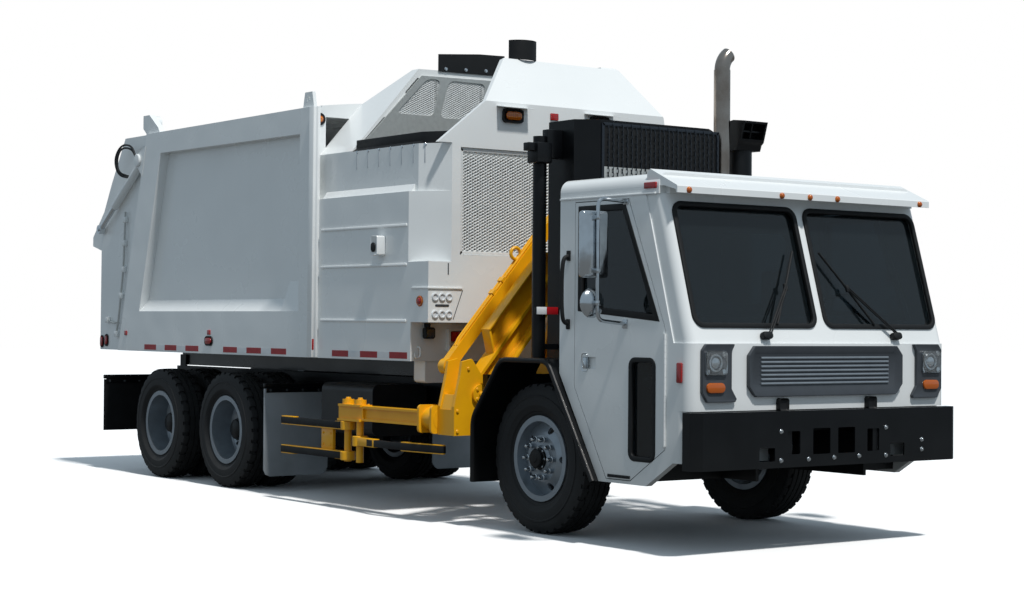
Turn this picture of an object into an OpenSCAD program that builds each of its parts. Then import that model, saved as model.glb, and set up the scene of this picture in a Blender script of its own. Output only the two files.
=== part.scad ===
// Side-loading garbage truck in millimetres, +X forward, +Y left, +Z up, standing on z = 0.
// The origin is the middle of the overall length on the ground.

/* [Size] */
// Length from the bumper's face to the tailgate's bustle
overall_l = 9360; // [9200:10:9700]
// Bumper face to the front axle
front_overhang = 1805; // [1780:5:1830]
// Front axle to the first drive axle
wheelbase = 4555; // [4500:5:4650]
// Spacing of the two drive axles
tandem = 1320; // [1280:5:1360]
// Half width of the load body
body_hw = 1220; // [1200:5:1240]
// Height of the load body's floor underside
floor_z = 1190; // [1190:5:1215]
// Height of the load body's top rail
body_top = 3280; // [3240:10:3320]

/* [Wheels] */
// Front tyre radius
tyre_f_r = 533; // [520:1:540]
// Drive tyre radius
tyre_r_r = 515; // [500:1:522]
// Front tyre width
tyre_f_w = 300; // [280:2:310]
// Drive tyre width
tyre_r_w = 276; // [260:2:286]
// Wheel nuts on each wheel
nut_n = 10; // [6:1:12]
// Hand holes in each wheel disc
hand_n = 5; // [4:1:6]

/* [Cab] */
// Half width of the cab
cab_hw = 1200; // [1190:2:1210]
// Cab wall thickness
cab_t = 50; // [40:1:56]
// Height of the roof's underside
roof_z = 2340; // [2330:5:2380]
// Radius of the cab's front corners
cab_r = 76; // [72:2:100]

/* [Arm] */
// Length of the lifting arm between its pivots
arm_l = 1601; // [1580:1:1620]
// Angle of the arm below level at rest
arm_a = 48.9; // [47.5:0.1:50]
// Offset of the levelling link's pivots outboard of the arm's
link_dy = 110; // [104:1:120]
// Offset of the levelling link's pivots above the arm's
link_dz = 200; // [194:1:206]

/* [Gaps] */
// Radial gap at pins and shafts
pin_gap = 0.3; // [0.2:0.05:0.4]

/* [Hidden] */
$fn = 48;
front_x = overall_l / 2;
tail_x = -overall_l / 2;
axle_f = front_x - front_overhang;
axle_1 = axle_f - wheelbase;
axle_2 = axle_1 - tandem;
cab_x = front_x - 85;
cab_back_x = front_x - 1450;
belt_z = 1370;
lamp_y = 1012;
tunnel_z = 1130;
slope_a = 16.4;
ret_l = 170;
hop_x = front_x - 3070;
sill_z = 2870;
ledge_z = 2500;
hood_z = 3625;
gable_z = 3215;
guard_hw = 920;
guard_z = [2010, 2840];
body_x = front_x - 4810;
post_x = tail_x + 820;
lean = 0.2796;
wall_t = 130;
rail_y = 430;
rail_z = 1030;
rail_h = 270;
sill_y = rail_y - 90;
bed_hinge = [tail_x + 660, 1100];
gate_hinge = [post_x + 530, body_top + 120];
cyl_u = [post_x + 417, body_top - 242];
cyl_l = [tail_x + 280, body_top - 880];
gate_hw = body_hw - 90;
ear_hw = body_hw - 20;
hood_hw = body_hw - 70;
hood_x = front_x - 4290;
flap_f = axle_1 + 740;
flap_r = min(tail_x + 460, axle_2 - tyre_r_r - 90);
rail_end = flap_r + 70;
hoist_p = [post_x + 1360, 1080];
hoist_q = [hoist_p[0] + 1500, 800];
king_y = 890;
fw_y = 975;
rw_y = [725, 1065];
arm_x = front_x - 2640;
link_x = arm_x - 165;
gear_x = front_x - 2330;
piv_c = [-1102, 963];
piv_a = [piv_c[0] + arm_l * cos(arm_a), piv_c[1] + arm_l * sin(arm_a)];
piv_d = [piv_c[0] - link_dy, piv_c[1] + link_dz];
piv_b = [piv_a[0] - link_dy, piv_a[1] + link_dz];
tilt_yz = [-1280, 770];
grip_x = [arm_x - 1420, arm_x - 1240];
door_hx = front_x - 330;
door_hy = cab_hw + 7;

paint = "#dfe3e3";
yellow = "#d9a21b";
black = "#15181b";
steel = "#8d9296";
glass = "#28323a";
rubber = "#1b1b1c";

// An outline drawn in x and z, made solid from y0 to y1.
module xz(y0, y1) {
  translate([0, y1, 0]) rotate([90, 0, 0]) linear_extrude(y1 - y0) children();
}

// An outline drawn in y and z, made solid from x0 to x1.
module yz(x0, x1) {
  translate([x0, 0, 0]) rotate([90, 0, 90]) linear_extrude(x1 - x0) children();
}

// An outline drawn in x and y, made solid from z0 to z1.
module xy(z0, z1) {
  translate([0, 0, z0]) linear_extrude(z1 - z0) children();
}

// A box from its low corner to its high corner.
module box(lo, hi) {
  translate(lo) cube(hi - lo);
}

// A round bar along y at x and z.
module ybar(x, z, y0, y1, r) {
  translate([x, y1, z]) rotate([90, 0, 0]) cylinder(h = y1 - y0, r = r);
}

// A round bar along x at y and z.
module xbar(y, z, x0, x1, r) {
  translate([x0, y, z]) rotate([0, 90, 0]) cylinder(h = x1 - x0, r = r);
}

// A round bar along z at x and y.
module zbar(x, y, z0, z1, r) {
  translate([x, y, z0]) cylinder(h = z1 - z0, r = r);
}

// A round bar between two points.
module rod(p, q, r) {
  d = q - p;
  translate(p) rotate([0, acos(d[2] / norm(d)), atan2(d[1], d[0])]) cylinder(h = norm(d), r = r);
}

// The right-hand shape and its mirror image.
module both() {
  children();
  mirror([0, 1, 0]) children();
}

// A rectangle with round corners, from its low corner.
module rrect(x, y, w, h, r) {
  translate([x + r, y]) square([w - 2 * r, h]);
  translate([x, y + r]) square([w, h - 2 * r]);
  for (i = [r, w - r], j = [r, h - r]) translate([x + i, y + j]) circle(r);
}

// Channel rails with cab mounts, cross members, rails of the arm's slide, hoist pin and bed hinge pins.
module frame() {
  color(black) {
    both() {
      difference() {
        box([rail_end, -rail_y, rail_z - rail_h], [front_x - 200, -rail_y + 90, rail_z]);
        box([rail_end - 10, -rail_y + 12, rail_z - rail_h + 12],
          [front_x - 190, -rail_y + 91, rail_z - 12]);
      }
      box([front_x - 204, -rail_y, 640], [front_x - 12, -rail_y + 50, 880]);
      box([bed_hinge[0] - 60, -rail_y, rail_z], [bed_hinge[0] + 60, -rail_y + 20, bed_hinge[1] + 45]);
      ybar(bed_hinge[0], bed_hinge[1], -rail_y, -rail_y + 95, 30);
      for (x = [front_x - 500, cab_back_x + 150]) box([x - 60, -rail_y, rail_z],
        [x + 60, -rail_y + 90, tunnel_z]);
    }
    for (x = [front_x - 290, front_x - 3080, front_x - 3780, front_x - 4980, hoist_p[0] + 160,
      rail_end + 40])
      box([x - 40, -rail_y + 12, rail_z - 250], [x + 40, rail_y - 12, rail_z - 150]);
    for (x = [arm_x - 200, arm_x + 140]) box([x, -1100, rail_z], [x + 60, 900, rail_z + 80]);
    ybar(hoist_q[0], hoist_q[1], -rail_y + 12, rail_y - 12, 35);
  }
}

// Engine and gearbox as one plain block between the rails.
module engine() {
  color(steel) {
    box([gear_x, -325, 600], [front_x - 850, 325, 1080]);
    box([gear_x - 650, -220, 580], [gear_x, 220, 980]);
  }
}

// Propeller shaft to the first drive axle and the short shaft between the drive axles.
module drive_shafts() {
  color(steel) {
    rod([gear_x - 651.5, 0, 640], [axle_1 + 131.5, 0, 560], 55);
    rod([axle_1 - 130, 0, 540], [axle_2 + 130, 0, 540], 50);
  }
}

// Front beam with its kingpin eyes, and the two drive axle housings with spindles and spring pads.
module axles() {
  color(black) {
    difference() {
      union() {
        yz(axle_f - 45, axle_f + 45) polygon([[-king_y, 470], [-700, 470], [-620, 390], [620, 390],
          [700, 470], [king_y, 470], [king_y, 590], [680, 590], [600, 500], [-600, 500], [-680, 590],
          [-king_y, 590]]);
        for (s = [-1, 1]) zbar(axle_f, s * king_y, 470, 590, 60);
      }
      for (s = [-1, 1]) zbar(axle_f, s * king_y, 460, 600, 22 + pin_gap);
    }
    for (x = [axle_1, axle_2]) {
      ybar(x, tyre_r_r, -1000, 1000, 50);
      ybar(x, tyre_r_r, -580, 580, 70);
      xbar(0, tyre_r_r, x - 130, x + 130, 190);
      for (s = [-1, 1]) translate([x - 60, s * 480 - 50, 440]) cube([120, 100, 75]);
    }
  }
}

// Front leaf springs with their seats and hangers.
module front_springs() {
  color(black) both() {
    for (l = [[650, 0], [480, 22], [300, 44]]) intersection() {
      difference() {
        ybar(axle_f, 2256, -475, -385, 1690 + l[1] + 22);
        ybar(axle_f, 2256, -476, -384, 1690 + l[1]);
      }
      box([axle_f - l[0], -480, 480], [axle_f + l[0], -380, 900]);
    }
    box([axle_f - 60, -475, 500], [axle_f + 60, -385, 560]);
    for (x = [axle_f - 650, axle_f + 650]) box([x - 40, -470, 660], [x + 40, -390, rail_z - rail_h]);
  }
}

// Equaliser beams of the tandem with their saddles on the rails.
module rear_suspension() {
  x = axle_1 - tandem / 2;
  color(black) both() {
    box([axle_2 - 90, -520, 340], [axle_1 + 90, -440, 440]);
    xz(-520, -440) polygon([[x - 110, 430], [x + 110, 430], [x + 260, 740], [x + 260, 1000],
      [x - 260, 1000], [x - 260, 740]]);
    box([x - 260, -441, 780], [x + 260, -rail_y, 1000]);
  }
}

// Radiator pack behind the cab with chamfered front corners, two panels of holes, frame posts and side tube.
module radiator() {
  x1 = cab_back_x - 310;
  x0 = x1 - 420;
  color(black) {
    difference() {
      xy(1200, 2970) polygon([[x0, -750], [x1 - 120, -750], [x1, -600], [x1, 450], [x1 - 120, 600],
        [x0, 600]]);
      for (y0 = [-545, -40], i = [0:6], j = [0:8])
        translate([x1 - 25, y0 + (i + (j % 2) / 2) * 62, 2640 + j * 34]) cube([26, 46, 20]);
      box([x0 - 1, -640, 1500], [x0 + 60, 490, 2850]);
    }
    for (y = [-640, 430]) box([x0 + 60, y, 1080], [x0 + 240, y + 120, 1200]);
    both() box([x0 + 60, -rail_y, rail_z], [x0 + 240, -rail_y + 90, 1080]);
    box([x0 + 60, -640, 1080], [x0 + 240, -340, 1110]);
    box([x0 + 60, 340, 1080], [x0 + 240, 550, 1110]);
    zbar(x0 + 90, -900, 1240, 2850, 50);
    box([x0 + 60, -900, 2700], [x0 + 120, -749, 2740]);
    box([x0 + 60, -900, 1300], [x0 + 120, -749, 1340]);
  }
}

// Deep channel bumper with slanted ends, tow openings and access holes.
module bumper() {
  t = 12;
  color(black) difference() {
    xy(561, 930) polygon([[front_x, -1170], [front_x, 1170], [front_x - 50, 1240], [front_x - 120, 1240],
      [front_x - 120, -1240], [front_x - 50, -1240]]);
    xy(561 + t, 930 - t) polygon([[front_x - t, -1165], [front_x - t, 1165], [front_x - 50, 1228],
      [front_x - 130, 1228], [front_x - 130, -1228], [front_x - 50, -1228]]);
    // Columns: middle y, low z, high z, width.
    for (h = [[373, 645, 797, 115], [117, 640, 812, 160], [612, 604, 692, 138]], s = [-1, 1])
      yz(front_x - 20, front_x + 1) rrect(s * h[0] - h[3] / 2, h[1], h[3], h[2] - h[1], 8);
  }
}

// Cross section of the cab's front wall with round corners, inset by d, returning along the sides by back.
module front_section(d, back) {
  difference() {
    intersection() {
      translate([-600, -cab_hw]) rrect(d, d, 600 - 2 * d, 2 * cab_hw - 2 * d, cab_r - d);
      translate([-back, -cab_hw]) square([back + 1, 2 * cab_hw]);
    }
    translate([-600, -cab_hw]) rrect(cab_t + d, cab_t + d, 600 - 2 * cab_t - 2 * d,
      2 * (cab_hw - cab_t - d), cab_r - cab_t - d);
  }
}

// Lower front panel and the leaning windshield frame with two window openings.
module cab_front() {
  h = (roof_z - belt_z) / cos(slope_a);
  color(paint) {
    translate([cab_x, 0, 935]) linear_extrude(belt_z - 935) front_section(0, ret_l);
    difference() {
      translate([cab_x - 45, 0, 600]) linear_extrude(340) front_section(0, ret_l - 45);
      box([cab_x - 300, -480, 590], [cab_x, 480, 936]);
    }
    intersection() {
      translate([cab_x, 0, belt_z]) rotate([0, -slope_a, 0]) difference() {
        translate([0, 0, -200]) linear_extrude(h + 400) front_section(10, ret_l * cos(slope_a));
        for (s = [-1, 1]) translate([-cab_t - 20, 0, 0]) rotate([90, 0, 90])
          linear_extrude(cab_t + 30) wind_outline(s, 0);
      }
      box([cab_x - 900, -cab_hw, belt_z], [cab_x + 10, cab_hw, roof_z]);
    }
  }
}

// One windshield pane's outline in the leaning plane, on side s, drawn in by d.
module wind_outline(s, d) {
  scale([s, 1]) rrect(45 + d, 120 + d, cab_hw - cab_r - 49 - 2 * d, 830 - 2 * d, 70 - d);
}

// Outline of the cab side up to the front return.
module side_outline() {
  k = tan(slope_a);
  polygon([[cab_back_x, roof_z], [cab_back_x, 1150], [cab_back_x + 440, 434], [front_x - 520, 434],
    [front_x - 255, 600], [cab_x - ret_l, 600], [cab_x - ret_l, belt_z],
    [cab_x - ret_l - (roof_z - belt_z) * k, roof_z]]);
}

// Outline of a door, drawn in by d.
module door_outline(d) {
  polygon([[door_hx - d, 680 + d / 2], [door_hx - d, 1450 - d / 4], [front_x - 710 - d, roof_z - d - 20],
    [front_x - 1285 + d, roof_z - d - 20], [front_x - 1285 + d, 1060 + d / 4], [front_x - 935 + d, 455 + d],
    [front_x - 680 - d / 2, 455 + d]]);
}

// Side panels with the door openings.
module cab_sides() {
  color(paint) both() xz(-cab_hw, -cab_hw + cab_t) difference() {
    side_outline();
    door_outline(0);
  }
}

// Rear wall with two windows.
module cab_back() {
  color(paint) yz(cab_back_x, cab_back_x + cab_t) difference() {
    translate([-cab_hw + cab_t, 1150]) square([2 * (cab_hw - cab_t), roof_z - 1150]);
    for (s = [-1, 1]) scale([s, 1]) rrect(250, 1650, 700, 520, 60);
  }
}

// Roof with rounded sides, and the folded visor over the windshield.
module cab_roof() {
  f = cab_x - (roof_z - belt_z) * tan(slope_a);
  color(paint) {
    yz(cab_back_x, f - 40) intersection() {
      translate([-cab_hw, roof_z]) square([2 * cab_hw, 140]);
      translate([-cab_hw, roof_z - 100]) rrect(0, 0, 2 * cab_hw, 240, 90);
    }
    yz(f - 40, f) translate([-cab_hw + 60, roof_z]) square([2 * cab_hw - 120, 100]);
    xz(-cab_hw + 10, cab_hw - 10) polygon([[f - 170, roof_z + 139], [f - 140, roof_z + 165],
      [f + 126, roof_z + 46],
      [f + 130, roof_z + 40], [f + 130, roof_z - 2], [f + 118, roof_z - 2], [f + 114, roof_z + 20],
        [f - 1, roof_z + 50],
      [f - 170, roof_z + 50]]);
  }
}

// Footwells with steps, tunnel over the engine, and the sloping rear floor.
module cab_floor() {
  t = 25;
  y1 = cab_hw - cab_t;
  color(black) {
    both() {
      box([cab_back_x + 470, -y1, 460], [front_x - 560, -520, 460 + t]);
      box([cab_back_x + 470, -520, 460], [cab_x - 120, -520 + t, tunnel_z]);
      box([front_x - 560, -y1, 460], [front_x - 560 + t, -520, 620]);
      box([front_x - 560 + t, -y1, 595], [cab_x - 160, -520, 620]);
      xz(-y1, -520) polygon([[cab_back_x + cab_t, 1150], [cab_back_x + cab_t, 1120],
        [cab_back_x + 470, 460],
        [cab_back_x + 495, 485], [cab_back_x + cab_t + 25, 1150]]);
    }
    box([cab_back_x + cab_t, -520, tunnel_z], [cab_x - cab_t, 520, tunnel_z + t]);
  }
}

// Windshield panes and rear windows.
module cab_glass() {
  color(glass) {
    translate([cab_x, 0, belt_z]) rotate([0, -slope_a, 0])
      for (s = [-1, 1]) translate([-cab_t / 2 - 13, 0, 0]) rotate([90, 0,
        90]) linear_extrude(6) wind_outline(s, 0.3);
    yz(cab_back_x + 22, cab_back_x + 28) for (s = [-1, 1]) scale([s, 1]) rrect(250.3, 1650.3, 699.4,
      519.4, 59.7);
  }
}

// Seats on the tunnel and footwells, dashboard, steering column and wheel.
module interior() {
  x = cab_back_x + 180;
  color(black) {
    both() {
      box([x, -1000, 1155], [x + 480, -560, 1300]);
      box([x + 60, -960, 1150], [x + 420, -600, 1156]);
      box([x - 60, -1000, 1300], [x + 60, -560, 1900]);
      box([x - 60, -1010, 1120], [x + 500, -520, 1150]);
    }
    box([cab_x - 520, -1100, 1155], [cab_x - 170, 1100, 1420]);
    rod([cab_x - 500, 700, 1400], [cab_x - 640, 700, 1560], 25);
    translate([cab_x - 640, 700, 1560]) rotate([0, -41, 0]) difference() {
      cylinder(h = 30, r = 230);
      translate([0, 0, -1]) cylinder(h = 32, r = 200);
    }
    translate([cab_x - 640, 700, 1560]) rotate([0, -41, 0]) for (a = [0, 120, 240])
      rotate([0, 0, a]) translate([0, -15, 0]) cube([205, 30, 20]);
  }
}

// Centre panel and lamp bezels on the front, two small hoods over the bumper, and the wipers.
module front_trim() {
  color("#4a4f53") {
    difference() {
      yz(cab_x, cab_x + 28) polygon([[-660, 1040], [660, 1040], [720, 1100], [720, 1290], [660, 1350],
        [-660, 1350], [-720, 1290], [-720, 1100]]);
      yz(cab_x + 16, cab_x + 30) polygon([[-630, 1075], [630, 1075], [680, 1120], [680, 1270], [630, 1315],
        [-630, 1315], [-680, 1270], [-680, 1120]]);
    }
    both() difference() {
      yz(cab_x, cab_x + 26) polygon([[-lamp_y - 112, 1358], [-lamp_y - 112, 1075], [-lamp_y - 62, 1000],
        [-lamp_y + 190, 1000], [-lamp_y + 150, 1075], [-lamp_y + 150, 1358]]);
      box([cab_x + 6, -lamp_y - 95, 1165], [cab_x + 30, -lamp_y + 95, 1325]);
      yz(cab_x + 6, cab_x + 30) rrect(-lamp_y - 80, 1050, 160, 70, 34);
    }
    both() xz(-455, -375) polygon([[cab_x, 1010], [cab_x, 935], [cab_x + 60, 935]]);
    // Columns: pivot y, blade foot y, blade tip y.
    for (w = [[-530, -420, -150], [700, 500, 100]]) translate([cab_x, 0, belt_z]) rotate([0, -slope_a, 0]) {
      xbar(w[0], 50, -10 + pin_gap, 40, 18);
      rod([24, w[0], 50], [24, (w[1] + w[2]) / 2, 385], 9);
      rod([14, w[1], 130], [14, w[2], 640], 10);
      xbar((w[1] + w[2]) / 2, 385, 10, 34, 14);
    }
  }
}

// Headlamps and turn lamps in their bezels, and visor markers.
module front_lamps() {
  f = cab_x - (roof_z - belt_z) * tan(slope_a);
  color("#cfd6da") {
    both() {
      box([cab_x + 6, -lamp_y - 93, 1167], [cab_x + 24, -lamp_y + 93, 1323]);
      yz(cab_x + 6, cab_x + 22) rrect(-lamp_y - 78, 1052, 156, 66, 32);
    }
    for (y = [-1090, -263, 0, 263, 1090]) xbar(y, roof_z + 18, f + 130 + pin_gap, f + 146, 17);
  }
}

// Folded fenders over the steered wheels.
module fenders() {
  x = axle_f;
  color(black) both() {
    xz(-1250, -880) polygon([[x - 625, 330], [x - 625, 800], [x - 280, 1240], [x + 280, 1240],
      [x + 793, 434],
      [x + 772, 422], [x + 266, 1215], [x - 268, 1215], [x - 600, 792], [x - 600, 330]]);
    box([x + 100, -880, 1215], [x + 160, -rail_y, 1235]);
    box([x + 100, -rail_y - 20, 900], [x + 160, -rail_y, 1235]);
  }
}

// Upright stack with a turned-out tip, on brackets from the radiator pack.
module exhaust() {
  x = cab_back_x - 505;
  top = 3460;
  color("#b9bec2") {
    zbar(x, 760, 1300, top, 64);
    translate([x, 910, top]) rotate([90, 0, 90]) rotate([0, 0, 125]) rotate_extrude(angle = 58)
      translate([150, 0]) circle(60);
    box([x - 60, 600, 2500], [x + 60, 720, 2540]);
    box([x - 60, 600, 1400], [x + 60, 720, 1440]);
  }
}

// Intake duct with an elbow and a leaning square mouth that looks forward.
module air_intake() {
  x = cab_back_x - 570;
  color(black) {
    zbar(x, 1010, 1260, 2850, 95);
    difference() {
      intersection() {
        xz(885, 1140) polygon([[x - 94, 2849], [x - 94, 2960], [x - 70, 3030], [x - 20, 3072],
          [x + 60, 3085],
          [x + 180, 3072], [x + 134, 2915], [x + 110, 2895], [x + 94, 2849]]);
        xy(2800, 3100) polygon([[x - 94, 950], [x - 40, 890], [x + 60, 880], [x + 200, 880],
          [x + 200, 1145],
          [x + 60, 1145], [x - 40, 1130], [x - 94, 1070]]);
      }
      xz(903, 1122) polygon([[x + 60, 2935], [x + 140, 2935], [x + 182, 3055], [x + 60, 3055]]);
    }
    xz(1004, 1016) polygon([[x + 59, 2930], [x + 110, 2930], [x + 148, 3060], [x + 59, 3060]]);
    box([x + 59, 900, 2990], [x + 124, 1125, 3002]);
    for (z = [1400, 2400]) box([x - 80, 600, z], [x - 60, 1010, z + 30]);
  }
}

// Fuel tank on the left and oil tank on the right, with their brackets on the rails.
module side_tanks() {
  color(steel) {
    yz(axle_1 + 1880, axle_1 + 2880) rrect(rail_y + 40, 430, 560, 560, 120);
    for (x = [axle_1 + 2080, axle_1 + 2680]) box([x - 40, rail_y, 700], [x + 40, rail_y + 50, 960]);
    yz(axle_1 + 1380, axle_1 + 2180) rrect(-rail_y - 570, 560, 520, 420, 60);
    for (x = [axle_1 + 1480, axle_1 + 2080]) box([x - 40, -rail_y - 60, 700], [x + 40, -rail_y, 960]);
  }
}

// Flaps ahead of and behind the drive wheels, with their arms on the rails.
module mudflaps() {
  w = body_hw - 20;
  color("#c9ccce") both() {
    yz(flap_f - 6, flap_f + 6) polygon([[-w, 915], [-w, 205], [-w + 60, 145], [-620, 145], [-560, 205],
      [-560, 915]]);
    box([flap_f - 20, -w, 915], [flap_f + 20, -rail_y, 950]);
    box([flap_r - 6, -w, 385], [flap_r + 6, -600, 900]);
    box([flap_r - 20, -w, 900], [flap_r + 20, -rail_y + 40, 940]);
    box([flap_r - 20, -rail_y, 900], [rail_end, -rail_y + 40, 940]);
  }
}

// Steering knuckle with kingpin, fork, spindle and steering arm, on the right side.
module knuckle() {
  y = -king_y;
  color(black) {
    zbar(axle_f, y, 400, 660, 22);
    zbar(axle_f, y, 595, 655, 55);
    zbar(axle_f, y, 405, 465, 55);
    box([axle_f - 50, y - 95, 405], [axle_f + 50, y - 65, 655]);
    box([axle_f - 50, y - 66, 595], [axle_f + 50, y, 655]);
    box([axle_f - 50, y - 66, 405], [axle_f + 50, y, 465]);
    ybar(axle_f, tyre_f_r, -1085, y - 90, 40);
    box([axle_f - 240, y + 45, 412], [axle_f, y + 75, 442]);
  }
}

module knuckle_right() {
  knuckle();
}

module knuckle_left() {
  mirror([0, 1, 0]) knuckle();
}

// Tyre solid of radius r and width w, round the y axis at y = 0.
module tyre(r, w) {
  rotate([90, 0, 0]) rotate_extrude($fn = 96) polygon([[288, -w / 2 + 44], [312, -w / 2 + 40],
    [335, -w / 2 + 18],
    [r - 130, -w / 2], [r - 60, -w / 2 + 8], [r - 22, -w / 2 + 22], [r - 5, -w / 2 + 34],
      [r, -w / 2 + 60], [r, w / 2 - 60],
    [r - 5, w / 2 - 34], [r - 22, w / 2 - 22], [r - 60, w / 2 - 8], [r - 130, w / 2],
      [335, w / 2 - 18], [312, w / 2 - 40],
    [288, w / 2 - 44]]);
}

// Rim of half width w with flanges, round the y axis at y = 0.
module rim(w) {
  rotate([90, 0, 0]) rotate_extrude($fn = 96) polygon([[264, -w], [304, -w], [304, -w + 12],
    [287.6, -w + 13],
    [287.6, w - 13], [304, w - 12], [304, w], [264, w]]);
}

// Front wheel's steel disc, hub and nuts; the outer side faces -y.
module front_disc() {
  w = tyre_f_w / 2 - 28;
  color("#c4c8cb") translate([axle_f, -fw_y, tyre_f_r]) {
    rim(w);
    difference() {
      rotate([90, 0, 0]) rotate_extrude() polygon([[40 + pin_gap, 30], [40 + pin_gap, 124], [70, 124],
        [95, 100], [165, 96],
        [215, 62], [266, 40], [266, 22], [210, 44], [160, 76], [110, 78], [95, 30]]);
      for (i = [0:hand_n - 1]) rotate([0, i * 360 / hand_n, 0]) translate([208, 0, 0]) rotate([90, 0,
        0]) cylinder(h = 400, r = 27, center = true);
    }
    for (i = [0:nut_n - 1]) rotate([0, i * 360 / nut_n, 0]) ybar(140, 0, -128, -90, 17);
    ybar(0, 0, -150, -123, 66);
  }
}

module front_tyre_right() {
  color(rubber) translate([axle_f, -fw_y, tyre_f_r]) tyre(tyre_f_r, tyre_f_w);
}

module front_tyre_left() {
  color(rubber) translate([axle_f, fw_y, tyre_f_r]) tyre(tyre_f_r, tyre_f_w);
}

module front_disc_right() {
  front_disc();
}

module front_disc_left() {
  mirror([0, 1, 0]) front_disc();
}

// Twin tyres of one drive wheel on the right.
module drive_tyres(x) {
  color(rubber) for (y = rw_y) translate([x, -y, tyre_r_r]) tyre(tyre_r_r, tyre_r_w);
}

// Twin rims with their discs back to back, hub, drum and nuts of one drive wheel on the right.
module drive_discs(x) {
  w = tyre_r_w / 2 - 28;
  ym = (rw_y[0] + rw_y[1]) / 2;
  color("#c4c8cb") translate([x, 0, tyre_r_r]) {
    for (y = rw_y) translate([0, -y, 0]) rim(w);
    difference() {
      translate([0, -ym, 0]) rotate([90, 0, 0]) rotate_extrude() polygon([[50 + pin_gap, -250],
        [50 + pin_gap, 106],
        [0, 106], [0, 150], [95, 150], [120, 20], [200, 20], [255, 70], [266, 90], [266, 70],
          [262, 60], [205, 0],
        [262, -60], [266, -70], [266, -90], [255, -70], [200, -20], [200, -120], [190, -240], [175, -250]]);
      for (i = [0:hand_n - 1]) rotate([0, i * 360 / hand_n, 0]) translate([232, -ym, 0]) rotate([90, 0,
        0]) cylinder(h = 200, r = 18, center = true);
    }
    for (i = [0:nut_n - 1]) rotate([0, i * 360 / nut_n, 0]) ybar(150, 0, -ym - 60, -ym - 10, 17);
  }
}

module drive_tyres_1_right() {
  drive_tyres(axle_1);
}

module drive_tyres_1_left() {
  mirror([0, 1, 0]) drive_tyres(axle_1);
}

module drive_tyres_2_right() {
  drive_tyres(axle_2);
}

module drive_tyres_2_left() {
  mirror([0, 1, 0]) drive_tyres(axle_2);
}

module drive_discs_1_right() {
  drive_discs(axle_1);
}

module drive_discs_1_left() {
  mirror([0, 1, 0]) drive_discs(axle_1);
}

module drive_discs_2_right() {
  drive_discs(axle_2);
}

module drive_discs_2_left() {
  mirror([0, 1, 0]) drive_discs(axle_2);
}

// Outline of a door's window.
module door_window() {
  polygon([[front_x - 1235, 1590], [front_x - 410, 1523], [front_x - 763, 2275], [front_x - 1235, 2275]]);
}

// Door panel with its window, lower window, hinge bead and handle, on the right.
module door() {
  color(paint) {
    difference() {
      xz(-cab_hw, -cab_hw + cab_t) difference() {
        door_outline(6);
        door_window();
        rrect(front_x - 690, 600, 250, 660, 50);
      }
      box([front_x - 1190, -cab_hw - 1, 1185], [front_x - 1050, -cab_hw + 20, 1265]);
    }
    zbar(door_hx, -door_hy, 700, 1430, 7);
    box([door_hx - 30, -door_hy - 3, 700], [door_hx - 2, -cab_hw + 4, 1430]);
  }
}

module door_right() {
  door();
}

module door_left() {
  mirror([0, 1, 0]) door();
}

// Window pane and lower pane of a door on the right.
module door_glass() {
  color(glass) xz(-cab_hw + 22, -cab_hw + 28) {
    door_window();
    rrect(front_x - 689.7, 600.3, 249.4, 659.4, 49.7);
  }
}

module door_glass_right() {
  door_glass();
}

module door_glass_left() {
  mirror([0, 1, 0]) door_glass();
}

// Mirror head, round mirror and tube frame on the right door.
module mirror_set() {
  x = front_x - 770;
  color(steel) {
    box([x - 30, -1565, 1790], [x + 30, -1335, 2230]);
    translate([x - 20, -1450, 1625]) rotate([0, 90, 0]) cylinder(h = 40, r = 100);
    zbar(x + 45, -1450, 1500, 2330, 14);
    box([x + 15, -1460, 1615], [x + 45, -1440, 1635]);
    box([x + 25, -1460, 2000], [x + 45, -1440, 2030]);
    rod([x + 45, -1450, 2300], [x + 30, -cab_hw - 4, 2297], 13);
    rod([x + 45, -1450, 1520], [x + 30, -cab_hw - 4, 1490], 13);
    box([x + 5, -cab_hw - 8, 1460], [x + 55, -cab_hw, 1520]);
    box([x + 10, -cab_hw - 8, 2280], [x + 50, -cab_hw, 2312]);
  }
}

module mirror_right() {
  mirror_set();
}

module mirror_left() {
  mirror([0, 1, 0]) mirror_set();
}

// X of the body's leaning rear face at height z, set back by d.
function rear_x(z, d) = post_x + (z - floor_z) * lean - d;

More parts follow.
